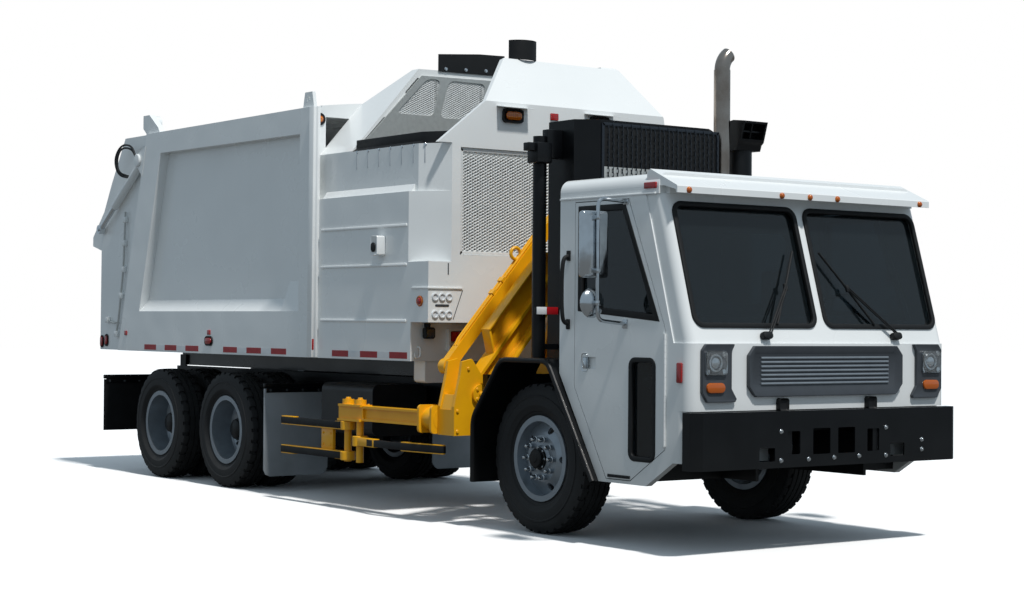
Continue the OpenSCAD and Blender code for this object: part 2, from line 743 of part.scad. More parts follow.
// Load body: a tube open at both ends, with recessed side panels over sloping ledges, gate ears and sills.
module load_body() {
  iz = body_top - 80;
  color(paint) {
    difference() {
      intersection() {
        xz(-body_hw, body_hw) polygon([[rear_x(floor_z, 0), floor_z], [body_x, floor_z],
          [body_x, body_top + 100],
          [rear_x(body_top + 100, 0), body_top + 100]]);
        yz(tail_x, body_x) intersection() {
          union() {
            translate([-body_hw, floor_z]) square([2 * body_hw, body_top - floor_z]);
            translate([-body_hw + 90, floor_z]) square([2 * body_hw - 180, body_top - floor_z + 100]);
          }
          translate([0, body_top + 90 - 8314]) circle(r = 8314, $fn = 96);
        }
      }
      box([tail_x, -body_hw + wall_t, floor_z + 50], [body_x + 1, body_hw - wall_t, iz]);
      both() xz(-body_hw - 1, -body_hw + 90) polygon([[rear_x(1574, -360), 1574], [body_x - 203, 1574],
        [body_x - 203, 3064], [rear_x(3079, -364), 3079]]);
    }
    both() {
      yz(rear_x(1574, -340), body_x - 200) polygon([[-body_hw + 0.5, 1573], [-body_hw + 91, 1573],
        [-body_hw + 91, 1682]]);
      yz(body_x - 500, body_x - 200) polygon([[-body_hw + 1, 1572], [-body_hw + 92, 1572], [-body_hw + 92, 1838]]);
      difference() {
        union() {
          xz(-sill_y - 65, -sill_y) polygon([[bed_hinge[0], 1040], [hop_x - 110, 1040],
            [hop_x - 110, floor_z], [post_x + 10, floor_z],
            [post_x + 10, floor_z - 10], [bed_hinge[0], floor_z - 10]]);
          ybar(bed_hinge[0], bed_hinge[1], -sill_y - 65, -sill_y, 60);
          box([bed_hinge[0] - 60, -sill_y - 65, bed_hinge[1]], [bed_hinge[0], -sill_y, floor_z - 10]);
        }
        ybar(bed_hinge[0], bed_hinge[1], -sill_y - 66, -sill_y + 1, 30 + pin_gap);
      }
      xz(-ear_hw, -gate_hw - 10) polygon([[rear_x(body_top, -270), body_top - 40],
        [rear_x(body_top, -210), body_top + 50],
        [gate_hinge[0] + 70, body_top + 185], [gate_hinge[0] - 60, body_top + 185],
        [gate_hinge[0] - 60, body_top + 60], [rear_x(body_top, -20), body_top - 40]]);
      ybar(gate_hinge[0], gate_hinge[1], -gate_hw - 15, -gate_hw + 75, 25);
      xz(-body_hw - 6, -body_hw + 4) polygon([[rear_x(2900, -20), 2880], [rear_x(3180, -20), 3160],
        [cyl_u[0] - 20, cyl_u[1] + 60], [cyl_u[0] - 60, cyl_u[1]], [cyl_u[0] - 20, cyl_u[1] - 60]]);
      ybar(cyl_u[0], cyl_u[1], -body_hw, -body_hw + 80, 20);
    }
    both() xz(-90, -60.5) polygon([[hoist_p[0] - 110, floor_z + 1], [hoist_p[0] - 60, hoist_p[1] - 60],
      [hoist_p[0] + 60, hoist_p[1] - 60], [hoist_p[0] + 110, floor_z + 1]]);
  }
}

// Hopper tub: floor, stepped side walls, control box corners and front wall with the guard's opening.
module hopper() {
  w = body_hw - 10;
  t = body_hw - wall_t;
  color(paint) difference() {
    union() {
      box([body_x, -w, floor_z], [hop_x - 240, w, 1490]);
      box([body_x, -w, 1490], [hop_x, w, 1955]);
      xy(1955, ledge_z) polygon([[body_x, -w], [hop_x - 280, -w], [hop_x, -w + 210], [hop_x, w - 210],
        [hop_x - 280, w], [body_x, w]]);
      xy(ledge_z, sill_z) polygon([[body_x, -hood_hw], [hop_x - 240, -hood_hw], [hop_x, -w + 210],
        [hop_x, w - 210],
        [hop_x - 240, hood_hw], [body_x, hood_hw]]);
      both() yz(body_x + 130, hop_x - 280) polygon([[-w + 20, ledge_z - 1],
        [-hood_hw - 1, ledge_z - 1], [-hood_hw - 1, ledge_z + 60]]);
    }
    box([body_x - 1, -t, floor_z + 50], [hop_x - 290, t, sill_z + 1]);
    xy(2000, sill_z + 1) polygon([[body_x + 10, -t], [hop_x - 290, -t], [hop_x - 50, -w + 270],
      [hop_x - 50, w - 270],
      [hop_x - 290, t], [body_x + 10, t]]);
    box([hop_x - 60, -guard_hw, guard_z[0]], [hop_x + 1, guard_hw, guard_z[1]]);
  }
}

// Outline of the hood across the truck at its mouth, drawn in by d.
module hood_outline(d) {
  polygon([[-hood_hw + d, sill_z], [-hood_hw + d, sill_z + 5 + d / 2], [-510 + d / 2, hood_z - 25 - d],
    [860 - d / 2, hood_z - d],
    [hood_hw - 23 - d, 3204 - d / 2], [hood_hw - d, 3080], [hood_hw - d, sill_z]]);
}

// Outline of the front gable and its leaning panel across the truck.
module gable_outline() {
  polygon([[-hood_hw + 20, sill_z], [-690, gable_z], [-305, hood_z - 5], [860, hood_z],
    [hood_hw - 23, 3204], [hood_hw, 3080],
    [hood_hw, sill_z]]);
}

// Rear hood with sloping back and window wall, left shoulder, front gable and leaning front panel.
module hopper_hood() {
  color(paint) {
    intersection() {
      yz(body_x, hood_x) difference() {
        hood_outline(0);
        hood_outline(40);
      }
      xz(-hood_hw, hood_hw) polygon([[body_x, sill_z], [body_x, body_top + 40], [hood_x - 60, hood_z],
        [hood_x, hood_z], [hood_x, sill_z]]);
    }
    difference() {
      yz(hood_x - 30, hood_x) intersection() {
        hood_outline(39);
        translate([-hood_hw, gable_z - 40]) square([2 * hood_hw, 600]);
      }
      yz(hood_x - 40, hood_x + 1) for (y = [-640, -230]) rrect(y, 3235, 370, 290, 60);
    }
    intersection() {
      yz(body_x, hood_x) hood_outline(39);
      xz(-hood_hw, hood_hw) polygon([[body_x, body_top], [body_x, body_top + 40],
        [hood_x - 60, hood_z], [hood_x - 29, hood_z],
        [hood_x - 29, hood_z - 30], [body_x + 40, body_top]]);
    }
    intersection() {
      yz(hood_x, hop_x - 40) intersection() {
        difference() {
          hood_outline(0);
          hood_outline(40);
        }
        translate([700, sill_z]) square([600, 1000]);
      }
      xz(0, hood_hw) polygon([[hood_x, sill_z], [hood_x, hood_z], [hop_x - 310, hood_z],
        [hop_x - 30, gable_z], [hop_x - 30, sill_z]]);
    }
    yz(hop_x - 40, hop_x) intersection() {
      gable_outline();
      translate([-hood_hw, sill_z]) square([2 * hood_hw, gable_z - sill_z]);
    }
    intersection() {
      xz(-hood_hw, hood_hw) polygon([[hop_x, gable_z - 1], [hop_x - 40, gable_z - 1],
        [hop_x - 320, hood_z - 30], [hop_x - 285, hood_z - 15]]);
      yz(hop_x - 400, hop_x + 1) gable_outline();
    }
  }
}

// Bar guard in the hopper's front opening.
module hopper_guard() {
  w = 2 * guard_hw;
  h = guard_z[1] - guard_z[0];
  nx = 20;
  nz = 9;
  color(steel) yz(hop_x - 34, hop_x - 14) difference() {
    translate([-guard_hw, guard_z[0]]) square([w, h]);
    for (i = [0:nx - 1], j = [0:nz - 1])
      translate([-guard_hw + 30 + i * (w - 45) / nx,
        guard_z[0] + 30 + j * (h - 45) / nz]) square([(w - 45) / nx - 15, (h - 45) / nz - 15]);
  }
}

// Rubber strips: along the sill, on the hood's edge and on the front panel's edge.
module hopper_flaps() {
  color(rubber) {
    yz(hood_x, hop_x - 240) polygon([[-hood_hw, sill_z], [-hood_hw + 40, sill_z],
      [-hood_hw + 150, sill_z + 80], [-hood_hw + 140, sill_z + 92]]);
    yz(hood_x, hood_x + 12) polygon([[-315, hood_z - 30], [365, hood_z - 20], [365, hood_z + 157],
      [100, hood_z + 150], [-315, hood_z + 115]]);
    translate([hop_x - 390, -85, hood_z - 15]) difference() {
      cylinder(h = 160, r = 140);
      translate([0, 0, -1]) cylinder(h = 162, r = 128);
      translate([-200, -200, -1]) cube([240, 400, 162]);
    }
  }
}

// Bored lifting eyes on the body's front posts.
module lifting_eyes() {
  color(paint) both() difference() {
    xz(-ear_hw, -ear_hw + 30) polygon([[body_x - 190, body_top], [body_x - 10, body_top],
      [body_x - 40, body_top + 130],
      [body_x - 160, body_top + 130]]);
    ybar(body_x - 100, body_top + 75, -ear_hw - 1, -ear_hw + 31, 25);
  }
}

// Tailgate shell with bustle and hinge arms.
module tailgate() {
  zt = body_top + 10;
  color(paint) {
    difference() {
      xz(-gate_hw, gate_hw) polygon([[rear_x(floor_z, 20), floor_z], [rear_x(zt, 20), zt],
        [tail_x + 740, zt],
        [tail_x + 430, 2850], [tail_x + 260, 2577], [tail_x, 2330], [tail_x, 2240], [tail_x + 209, 2190],
        [tail_x + 209, floor_z]]);
      xz(-gate_hw + 50, gate_hw - 50) polygon([[rear_x(floor_z + 50, -90), floor_z + 50],
        [rear_x(zt - 50, -90), zt - 50],
        [tail_x + 765, zt - 50], [tail_x + 470, 2830], [tail_x + 298, 2545], [tail_x + 52, 2310],
        [tail_x + 52, 2285], [tail_x + 259, 2232], [tail_x + 259, floor_z + 50]]);
    }
    both() difference() {
      union() {
        ybar(gate_hinge[0], gate_hinge[1], -gate_hw, -gate_hw + 70, 65);
        xz(-gate_hw, -gate_hw + 70) polygon([[gate_hinge[0] + 60, gate_hinge[1]],
          [gate_hinge[0] - 65, gate_hinge[1]],
          [gate_hinge[0] - 150, zt - 10], [rear_x(zt, 30), zt - 10]]);
      }
      ybar(gate_hinge[0], gate_hinge[1], -gate_hw - 1, -gate_hw + 71, 25 + pin_gap);
    }
  }
}

// Direction frame of a gate cylinder: local +x runs from the body pin to the gate pin.
module gate_cyl() {
  d = cyl_l - cyl_u;
  translate([cyl_u[0], -gate_hw - 43, cyl_u[1]]) rotate([0, -atan2(d[1], d[0]), 0]) children();
}

// Barrels of the gate cylinders with their eyes.
module gate_barrels() {
  color(black) both() gate_cyl() difference() {
    union() {
      xbar(0, 0, 40, 760, 38);
      ybar(0, 0, -28, 28, 50);
    }
    xbar(0, 0, 90, 761, 24 + pin_gap);
    ybar(0, 0, -29, 29, 20 + pin_gap);
  }
}

// Rods of the gate cylinders with their eyes and pins.
module gate_rods() {
  n = norm(cyl_l - cyl_u);
  color(steel) both() gate_cyl() {
    xbar(0, 0, 120, n - 20, 24);
    ybar(n, 0, -28, 28, 45);
    ybar(n, 0, -38, 42.5, 20);
  }
}

// Direction frame of the hoist: local +x runs from the chassis pin to the bed pin.
module hoist() {
  d = hoist_p - hoist_q;
  translate([hoist_q[0], 0, hoist_q[1]]) rotate([0, -atan2(d[1], d[0]), 0]) children();
}

// Hoist barrel on its chassis pin.
module hoist_barrel() {
  color(black) hoist() difference() {
    union() {
      xbar(0, 0, 45, 1200, 78);
      ybar(0, 0, -60, 60, 70);
    }
    xbar(0, 0, 90, 1201, 50 + pin_gap);
    ybar(0, 0, -80, 80, 35 + pin_gap);
  }
}

// Hoist rod with its eye.
module hoist_rod() {
  n = norm(hoist_p - hoist_q);
  color(steel) hoist() {
    xbar(0, 0, 120, n - 20, 50);
    ybar(n, 0, -60, 60, 45);
  }
}

// Sliding carriage with the mast plates and pivot pins of the arm.
module arm_carriage() {
  color(yellow) {
    box([arm_x - 210, -400, rail_z + 80 + pin_gap], [arm_x + 210, 700, rail_z + 170]);
    box([arm_x - 130, -400, rail_z + 20], [arm_x + 130, 700, rail_z + 90]);
    for (x = [arm_x - 110, arm_x + 80]) yz(x, x + 30) polygon([[-380, 1190], [400, 1190],
      [piv_a[0] + 130, piv_a[1] - 40],
      [piv_a[0] + 70, piv_a[1] + 90], [piv_b[0] + 80, piv_b[1] + 80], [piv_b[0] - 60, piv_b[1] + 60],
      [piv_b[0] - 70, piv_b[1] - 60], [piv_a[0] - 150, piv_a[1] - 90]]);
    box([arm_x - 85, 180, 1190], [arm_x + 85, 210, 1800]);
    xbar(piv_a[0], piv_a[1], arm_x - 120, arm_x + 120, 35);
    xbar(piv_b[0], piv_b[1], link_x - 50, arm_x - 90, 25);
  }
}

// Lifting arm: flanged beam between the mast and the bracket, with bosses and its headed lower pin.
module lift_arm() {
  color(yellow) {
    difference() {
      union() {
        translate([arm_x, piv_c[0], piv_c[1]]) rotate([arm_a, 0, 0]) difference() {
          translate([-70, 0, -75]) cube([140, arm_l, 150]);
          for (x = [-71, 31]) translate([x, 130, -52]) cube([40, arm_l - 260, 104]);
        }
        xbar(piv_a[0], piv_a[1], arm_x - 75, arm_x + 75, 80);
        xbar(piv_c[0], piv_c[1], arm_x - 72, arm_x + 72, 90);
      }
      xbar(piv_a[0], piv_a[1], arm_x - 80, arm_x + 80, 35 + pin_gap);
    }
    xbar(piv_c[0], piv_c[1], arm_x - 115, arm_x + 115, 35);
    xbar(piv_c[0], piv_c[1], arm_x + 106, arm_x + 128, 72);
  }
}

// Levelling link beside the arm, with two lugs on its back.
module level_link() {
  color(yellow) difference() {
    union() {
      translate([link_x, piv_d[0], piv_d[1]]) rotate([arm_a, 0, 0]) {
        translate([-36, 0, -45]) cube([72, arm_l, 90]);
        for (y = [0.42, 0.5] * arm_l) translate([-30, y, 40]) cube([60, 40, 30]);
      }
      for (p = [piv_b, piv_d]) xbar(p[0], p[1], link_x - 40, link_x + 40, 58);
    }
    for (p = [piv_b, piv_d]) xbar(p[0], p[1], link_x - 45, link_x + 45, 25 + pin_gap);
  }
}

// Bracket at the arm's lower end with the levelling pin, the gusset and the tilt spindle.
module arm_bracket() {
  c = piv_c;
  d = piv_d;
  color(yellow) {
    difference() {
      union() {
        for (x = [arm_x - 105, arm_x + 76]) yz(x, x + 29) polygon([[c[0] + 95, c[1] - 30],
          [c[0] + 50, c[1] + 95],
          [d[0] + 40, d[1] + 60], [d[0] - 50, d[1] + 40], [d[0] - 65, d[1] - 60], [c[0] - 228, c[1] - 90],
          [c[0] - 228, 660], [c[0] - 20, 660]]);
        box([arm_x - 77, c[0] - 228, 660], [arm_x + 77, c[0] - 110, 850]);
        yz(arm_x - 77, arm_x + 77) polygon([[c[0] - 228, 840], [c[0] - 190, 840],
          [c[0] - 160, c[1] - 3], [c[0] - 194, c[1] - 3]]);
      }
      xbar(c[0], c[1], arm_x - 120, arm_x + 120, 35 + pin_gap);
    }
    xbar(d[0], d[1], link_x - 50, arm_x - 100, 25);
    xbar(tilt_yz[0], tilt_yz[1], arm_x - 270, arm_x - 100, 50);
  }
}

// Tilting beam of flanged section with its flanged housing and the two finger posts.
module grip_beam() {
  y = tilt_yz[0];
  z = tilt_yz[1];
  x0 = grip_x[0] - 90;
  color(yellow) {
    difference() {
      union() {
        xbar(y, z, arm_x - 300, arm_x - 110, 85);
        for (x = [arm_x - 302, arm_x - 136]) yz(x, x + 24) rrect(y - 105, z - 105, 210, 210, 30);
        difference() {
          box([x0, y - 55, z - 58], [arm_x - 290, y + 55, z + 58]);
          for (s = [-1, 1]) box([x0 + 360, y + s * 50 - 15, z - 40],
            [arm_x - 340, y + s * 50 + 15, z + 40]);
        }
        box([x0 + 20, y - 75, z + 50], [x0 + 350, y + 40, z + 66]);
        box([x0 + 10, y - 75, z - 66], [x0 + 340, y + 40, z - 50]);
      }
      xbar(y, z, arm_x - 275, arm_x - 105, 50 + pin_gap);
    }
    for (x = grip_x) {
      zbar(x, y - 20, 380, z + 90, 30);
      zbar(x, y - 20, z + 60, z + 104, 48);
    }
  }
}

// Rear finger: upper and lower tines tied by a plate near the rear post.
module finger_rear() {
  x = grip_x[0];
  y = tilt_yz[0] - 20;
  color(yellow) difference() {
    union() {
      for (z = [390, 630]) {
        zbar(x, y, z, z + 70, 62);
        box([x - 1000, y - 40, z], [x, y + 20, z + 70]);
        zbar(x - 1000, y - 10, z, z + 70, 30);
      }
      box([x - 400, y - 10, 455], [x - 220, y + 20, 635]);
    }
    zbar(x, y, 380, 710, 30 + pin_gap);
  }
}

// Front finger: one bent tine on the front post.
module finger_front() {
  x = grip_x[1];
  y = tilt_yz[0] - 20;
  color(yellow) difference() {
    union() {
      zbar(x, y, 510, 590, 62);
      xy(515, 585) polygon([[x - 20, y - 50], [x + 60, y + 10], [x + 560, y - 60], [x + 760, y - 40],
        [x + 1180, y + 10],
        [x + 1180, y - 35], [x + 760, y - 85], [x + 560, y - 105], [x + 60, y - 50]]);
      zbar(x + 1180, y - 12.5, 515, 585, 22.5);
    }
    zbar(x, y, 500, 600, 30 + pin_gap);
  }
}

frame();
engine();
drive_shafts();
axles();
front_springs();
rear_suspension();
radiator();
bumper();
cab_front();
cab_sides();
cab_back();
cab_roof();
cab_floor();
cab_glass();
interior();
front_trim();
front_lamps();
fenders();
exhaust();
air_intake();
side_tanks();
mudflaps();
knuckle_right();
knuckle_left();
front_tyre_right();
front_tyre_left();
front_disc_right();
front_disc_left();
drive_tyres_1_right();
drive_tyres_1_left();
drive_tyres_2_right();
drive_tyres_2_left();
drive_discs_1_right();
drive_discs_1_left();
drive_discs_2_right();
drive_discs_2_left();
door_right();
door_left();
door_glass_right();
door_glass_left();
mirror_right();
mirror_left();
load_body();
hopper();
hopper_hood();
hopper_guard();
hopper_flaps();
lifting_eyes();
tailgate();
gate_barrels();
gate_rods();
hoist_barrel();
hoist_rod();
arm_carriage();
lift_arm();
level_link();
arm_bracket();
grip_beam();
finger_rear();
finger_front();
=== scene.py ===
"""Looks of a side-loading garbage truck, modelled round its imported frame, in metres."""

import logging
import math
from collections.abc import Sequence
from dataclasses import dataclass, replace
from enum import Enum
from typing import Any

import bpy
from mathutils import Matrix, Vector


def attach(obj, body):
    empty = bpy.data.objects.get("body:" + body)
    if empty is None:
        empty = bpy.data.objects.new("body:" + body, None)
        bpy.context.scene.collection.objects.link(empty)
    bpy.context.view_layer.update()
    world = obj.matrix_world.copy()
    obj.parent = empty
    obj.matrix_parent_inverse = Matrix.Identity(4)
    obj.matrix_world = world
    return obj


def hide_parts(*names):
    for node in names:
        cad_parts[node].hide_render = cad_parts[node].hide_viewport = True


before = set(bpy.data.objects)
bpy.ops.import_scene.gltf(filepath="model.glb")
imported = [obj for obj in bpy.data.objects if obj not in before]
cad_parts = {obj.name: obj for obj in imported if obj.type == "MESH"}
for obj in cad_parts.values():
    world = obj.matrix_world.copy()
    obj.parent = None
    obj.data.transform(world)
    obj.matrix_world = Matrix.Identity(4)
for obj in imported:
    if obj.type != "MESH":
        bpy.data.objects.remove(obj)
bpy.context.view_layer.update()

LOG = logging.getLogger("garbage_truck")
Piece, Tree, Socket = bpy.types.Object, bpy.types.NodeTree, bpy.types.NodeSocket
Point = tuple[float, float]
Spot = tuple[float, float, float]
TURN = 2 * math.pi
MM = 0.001
# How far a fitting is sunk into the face that it stands on, and the same for tape with its thickness.
SUNK = -0.001
TAPE_SUNK, TAPE_HEIGHT = -0.0005, 0.0022
# Noise levels between which a patch's shade and gloss come in.
SHADE_FROM, SHADE_TO = 0.4, 0.7
GLOSS_FROM, GLOSS_TO = 0.3, 0.7
# Road dust fades out over this height and covers at most this share.
DUST_REACH, DUST_SHARE = 0.9, 0.55
COAT_ROUGHNESS, LEAST_ROUGHNESS = 0.06, 0.02


def linear(code: str) -> tuple[float, float, float, float]:
    """Turns an sRGB hex value to linear colour.

    Args:
        code: Six hex digits after a hash sign.

    Returns:
        Red, green and blue in linear light, with full alpha.
    """
    parts = [int(code[i : i + 2], 16) / 255 for i in (1, 3, 5)]
    r, g, b = (c / 12.92 if c <= 0.04045 else ((c + 0.055) / 1.055) ** 2.4 for c in parts)
    return r, g, b, 1.0


def add_node(tree: Tree, kind: str, settings: dict[str, Any], inputs: dict[Any, Any]) -> bpy.types.Node:
    """Adds a node with its settings and links.

    Args:
        tree: The node tree that takes it.
        kind: Blender's name of the node type.
        settings: Attributes of the node.
        inputs: A constant or a socket to link, by the input's name or number.

    Returns:
        The new node.
    """
    made = tree.nodes.new(kind)
    for key, value in settings.items():
        setattr(made, key, value)
    for key, value in inputs.items():
        if isinstance(value, Socket):
            tree.links.new(value, made.inputs[key])
        else:
            made.inputs[key].default_value = value
    return made


def add_mix(tree: Tree, share: Any, first: Any, second: Any) -> Socket:
    """Adds a mix of two colours.

    Args:
        tree: The node tree that takes it.
        share: Share of the second colour.
        first: The first colour.
        second: The second colour.

    Returns:
        The mixed colour.
    """
    mix = add_node(tree, "ShaderNodeMixRGB", {}, {"Fac": share, "Color1": first, "Color2": second})
    return mix.outputs["Color"]


def add_noise(tree: Tree, place: Any, size_mm: float, detail: float) -> Socket:
    """Adds a noise of one size.

    Args:
        tree: The node tree that takes it.
        place: The coordinates that it is drawn on.
        size_mm: Size of its marks.
        detail: How many finer layers it has.

    Returns:
        The noise's level.
    """
    noise = add_node(tree, "ShaderNodeTexNoise", {}, {"Vector": place, "Scale": 1 / (size_mm * MM), "Detail": detail})
    return noise.outputs["Fac"]


class Weave(Enum):
    """What breaks up a surface besides its own grain."""

    PLAIN = "plain"
    DOTS = "dots"
    CELLS = "cells"


@dataclass(frozen=True)
class Finish:
    """One real material: its colours, gloss, the sizes of its marks in millimetres, and its usual slot, and where set a
    dark colour painted below a height as painted shade.
    """

    name: str
    colour: str
    shade: str
    roughness: float
    metallic: float = 0.0
    patch_mm: float = 400.0
    patch_share: float = 0.35
    grain_mm: float = 6.0
    grain_depth: float = 0.05
    ripple_mm: float = 0.0
    ripple_depth: float = 0.0
    gloss_spread: float = 0.12
    coat: float = 0.0
    ior: float = 1.5
    clear: float = 0.0
    dust: str = ""
    dust_top: float = 1.3
    # A dark colour painted below a set height: painted shade of a shadowed underside, not a stain.
    under: str = ""
    painted_shade_top: float = 0.0
    weave: Weave = Weave.PLAIN
    weave_mm: float = 10.0
    slot: str = ""

    def tint(self, tree: Tree, place: Any, patch: Any) -> Socket:
        """Adds the colour: patches, weave, dust low down and a dark colour below a set height, which is painted shade.

        Args:
            tree: The node tree that takes it.
            place: The object's coordinates.
            patch: Level of the patches.

        Returns:
            The colour.
        """
        shade = {"Value": patch, "From Min": SHADE_FROM, "From Max": SHADE_TO, "To Max": self.patch_share}
        lift = add_node(tree, "ShaderNodeMapRange", {}, shade)
        colour = add_mix(tree, lift.outputs["Result"], linear(self.colour), linear(self.shade))
        if self.weave is not Weave.PLAIN:
            feature = {"feature": "F1" if self.weave is Weave.DOTS else "DISTANCE_TO_EDGE"}
            scale = {"Vector": place, "Scale": 1 / (self.weave_mm * MM), "Randomness": 0.0}
            cell = add_node(tree, "ShaderNodeTexVoronoi", feature, scale)
            step = {"Value": cell.outputs["Distance"], "From Min": 0.05, "From Max": 0.45}
            edge = add_node(tree, "ShaderNodeMapRange", {}, step)
            colour = add_mix(tree, edge.outputs["Result"], colour, linear(self.shade))
        if self.dust:
            height = add_node(tree, "ShaderNodeSeparateXYZ", {}, {"Vector": place}).outputs["Z"]
            fade = {"Value": height, "From Min": self.dust_top, "From Max": self.dust_top - DUST_REACH,
                    "To Max": DUST_SHARE}
            low = add_node(tree, "ShaderNodeMapRange", {}, fade)
            spread = add_node(tree, "ShaderNodeMath", {"operation": "MULTIPLY"}, {0: low.outputs["Result"], 1: patch})
            colour = add_mix(tree, spread.outputs["Value"], colour, linear(self.dust))
        # Painted shade: below the set height the colour turns near black.
        if self.under:
            height = add_node(tree, "ShaderNodeSeparateXYZ", {}, {"Vector": place}).outputs["Z"]
            below = add_node(tree, "ShaderNodeMath", {"operation": "LESS_THAN"}, {0: height, 1: self.painted_shade_top})
            colour = add_mix(tree, below.outputs["Value"], colour, linear(self.under))
        return colour

    def relief(self, tree: Tree, place: Any) -> Socket:
        """Adds the grain and the slow ripple.

        Args:
            tree: The node tree that takes them.
            place: The object's coordinates.

        Returns:
            The normal.
        """
        fine = add_noise(tree, place, self.grain_mm, 2.0)
        grain = {"Strength": self.grain_depth, "Distance": self.grain_mm * MM, "Height": fine}
        normal = add_node(tree, "ShaderNodeBump", {}, grain).outputs["Normal"]
        if self.ripple_depth:
            slow = add_noise(tree, place, self.ripple_mm, 1.0)
            ripple = {"Strength": self.ripple_depth, "Distance": self.ripple_mm * MM, "Height": slow, "Normal": normal}
            normal = add_node(tree, "ShaderNodeBump", {}, ripple).outputs["Normal"]
        return normal

    def make(self) -> bpy.types.Material:
        """Builds the material once and gives it back at each later call.

        Returns:
            The Blender material of this finish.
        """
        known = bpy.data.materials.get(self.name)
        if known is not None:
            return known
        mat = bpy.data.materials.new(self.name)
        mat.use_nodes = True
        tree = mat.node_tree
        tree.nodes.clear()
        place = add_node(tree, "ShaderNodeTexCoord", {}, {}).outputs["Object"]
        patch = add_noise(tree, place, self.patch_mm, 4.0)
        gloss = {
            "Value": patch,
            "From Min": GLOSS_FROM,
            "From Max": GLOSS_TO,
            "To Min": max(LEAST_ROUGHNESS, self.roughness - self.gloss_spread / 2),
            "To Max": self.roughness + self.gloss_spread / 2,
        }
        surface = {
            "Base Color": self.tint(tree, place, patch),
            "Metallic": self.metallic,
            "Roughness": add_node(tree, "ShaderNodeMapRange", {}, gloss).outputs["Result"],
            "IOR": self.ior,
            "Transmission Weight": self.clear,
            "Coat Weight": self.coat,
            "Coat Roughness": COAT_ROUGHNESS,
            "Normal": self.relief(tree, place),
        }
        shader = add_node(tree, "ShaderNodeBsdfPrincipled", {}, surface)
        add_node(tree, "ShaderNodeOutputMaterial", {}, {"Surface": shader.outputs["BSDF"]})
        return mat


# Two-part enamel sprayed on sheet steel: a deep even white with a soft orange peel and a slow ripple.
WHITE = Finish(
    "white_enamel_on_sheet_steel", "#e9ecec", "#dde1e2", 0.3, patch_mm=700, grain_mm=5, grain_depth=0.02,
    ripple_mm=420, ripple_depth=0.02, coat=0.5, dust="#9a978f", dust_top=1.15, slot="white_paint",
)
# The same white enamel, with everything below 1.186 m painted near black: painted shade standing for the black chassis
# in shadow under the body.
BODY_WHITE = replace(WHITE, name="white_enamel_over_black_underseal", under="#121416", painted_shade_top=1.186)
# White enamel sprayed over expanded steel: thinner and greyer than on sheet.
MESH = Finish("white_enamel_on_expanded_steel", "#dfe2e2", "#bfc4c6", 0.42, patch_mm=60, grain_mm=4, grain_depth=0.08,
              slot="guard_steel")
# Red enamel on a small steel box: even and glossy.
RED_ENAMEL = Finish("red_enamel_on_steel_box", "#b3161c", "#8e1016", 0.3, patch_mm=60, grain_mm=4, grain_depth=0.03,
                    coat=0.3, slot="lamp")
# Black tank enamel: smooth, half gloss, greyed by road dust.
TANK = Finish("black_tank_enamel", "#14171a", "#23272b", 0.45, patch_mm=200, grain_mm=6, grain_depth=0.04,
              dust="#35342f", dust_top=0.9)
# Yellow enamel brushed and sprayed on thick plate: warm, a little worn and uneven.
YELLOW = Finish("yellow_enamel_on_plate", "#f2b010", "#dd990c", 0.36, patch_mm=180, grain_mm=7, grain_depth=0.05,
                coat=0.2, slot="arm_yellow")
# Black chassis paint over cast and rolled steel: satin, with a bloom of grey dust low down.
BLACK = Finish(
    "black_chassis_paint", "#06080b", "#0e1115", 0.4, patch_mm=260, grain_mm=4, grain_depth=0.06, coat=0.05, ior=1.34,
    dust="#2c2b28", dust_top=0.85, slot="chassis_black",
)
# Powder coat on a pressed steel screen: a blue-black that stays a little lighter than the black sheet of painted shade
# behind it.
SCREEN = Finish("powder_coat_on_pressed_steel", "#1d242c", "#161b22", 0.42, patch_mm=90, grain_mm=3, grain_depth=0.06,
                ior=1.4, slot="chassis_black")
# Grey machinery enamel on castings and tanks: dull, oily in patches.
MACHINE = Finish("grey_machinery_enamel", "#4b4f52", "#2e3032", 0.5, metallic=0.2, patch_mm=150, grain_mm=9,
                 grain_depth=0.12, slot="engine_grey")
# Cured tyre rubber: charcoal, dull, with a dusty bloom on the tread.
TYRE = Finish(
    "cured_tyre_rubber", "#131416", "#26282a", 0.72, patch_mm=120, patch_share=0.5, grain_mm=3, grain_depth=0.15,
    dust="#4a4844", dust_top=0.6, slot="tyre",
)
# Moulded rubber strip: matt black, finely pitted.
RUBBER = Finish("moulded_strip_rubber", "#0e1012", "#1a1c1f", 0.6, patch_mm=90, grain_mm=3, grain_depth=0.12, ior=1.4,
                slot="flap")
# Silver wheel enamel on pressed steel: a fine metallic grey.
SILVER = Finish("silver_wheel_enamel", "#9aa3ab", "#7b848d", 0.36, metallic=0.55, patch_mm=90, grain_mm=3,
                grain_depth=0.04, coat=0.2, dust="#5c5a55", dust_top=0.5, slot="wheel_steel")
# Moulded ABS with a sparked grain: dark grey and softly matt.
TRIM = Finish("grained_dark_abs", "#3b4046", "#2b2f34", 0.5, patch_mm=120, grain_mm=2.5, grain_depth=0.1,
              slot="dark_trim")
# Tinted laminated glass: a dark green-blue cast and sharp reflections.
GLASS = Finish("tinted_laminated_glass", "#4a575d", "#434f55", 0.03, patch_mm=900, gloss_spread=0.01, clear=0.92,
               ior=1.5, grain_depth=0.0)
# Bright-plated steel: near mirror, faintly clouded.
CHROME = Finish("bright_plated_steel", "#d6dadd", "#b7bcc0", 0.14, metallic=1.0, patch_mm=80, grain_depth=0.01,
                gloss_spread=0.08, slot="chrome")
# Exhaust pipe of plated steel, browned by heat.
STACK = Finish("heat_browned_plated_steel", "#a99f96", "#6e5a4a", 0.22, metallic=1.0, patch_mm=260, patch_share=0.8,
               grain_mm=5, grain_depth=0.02)
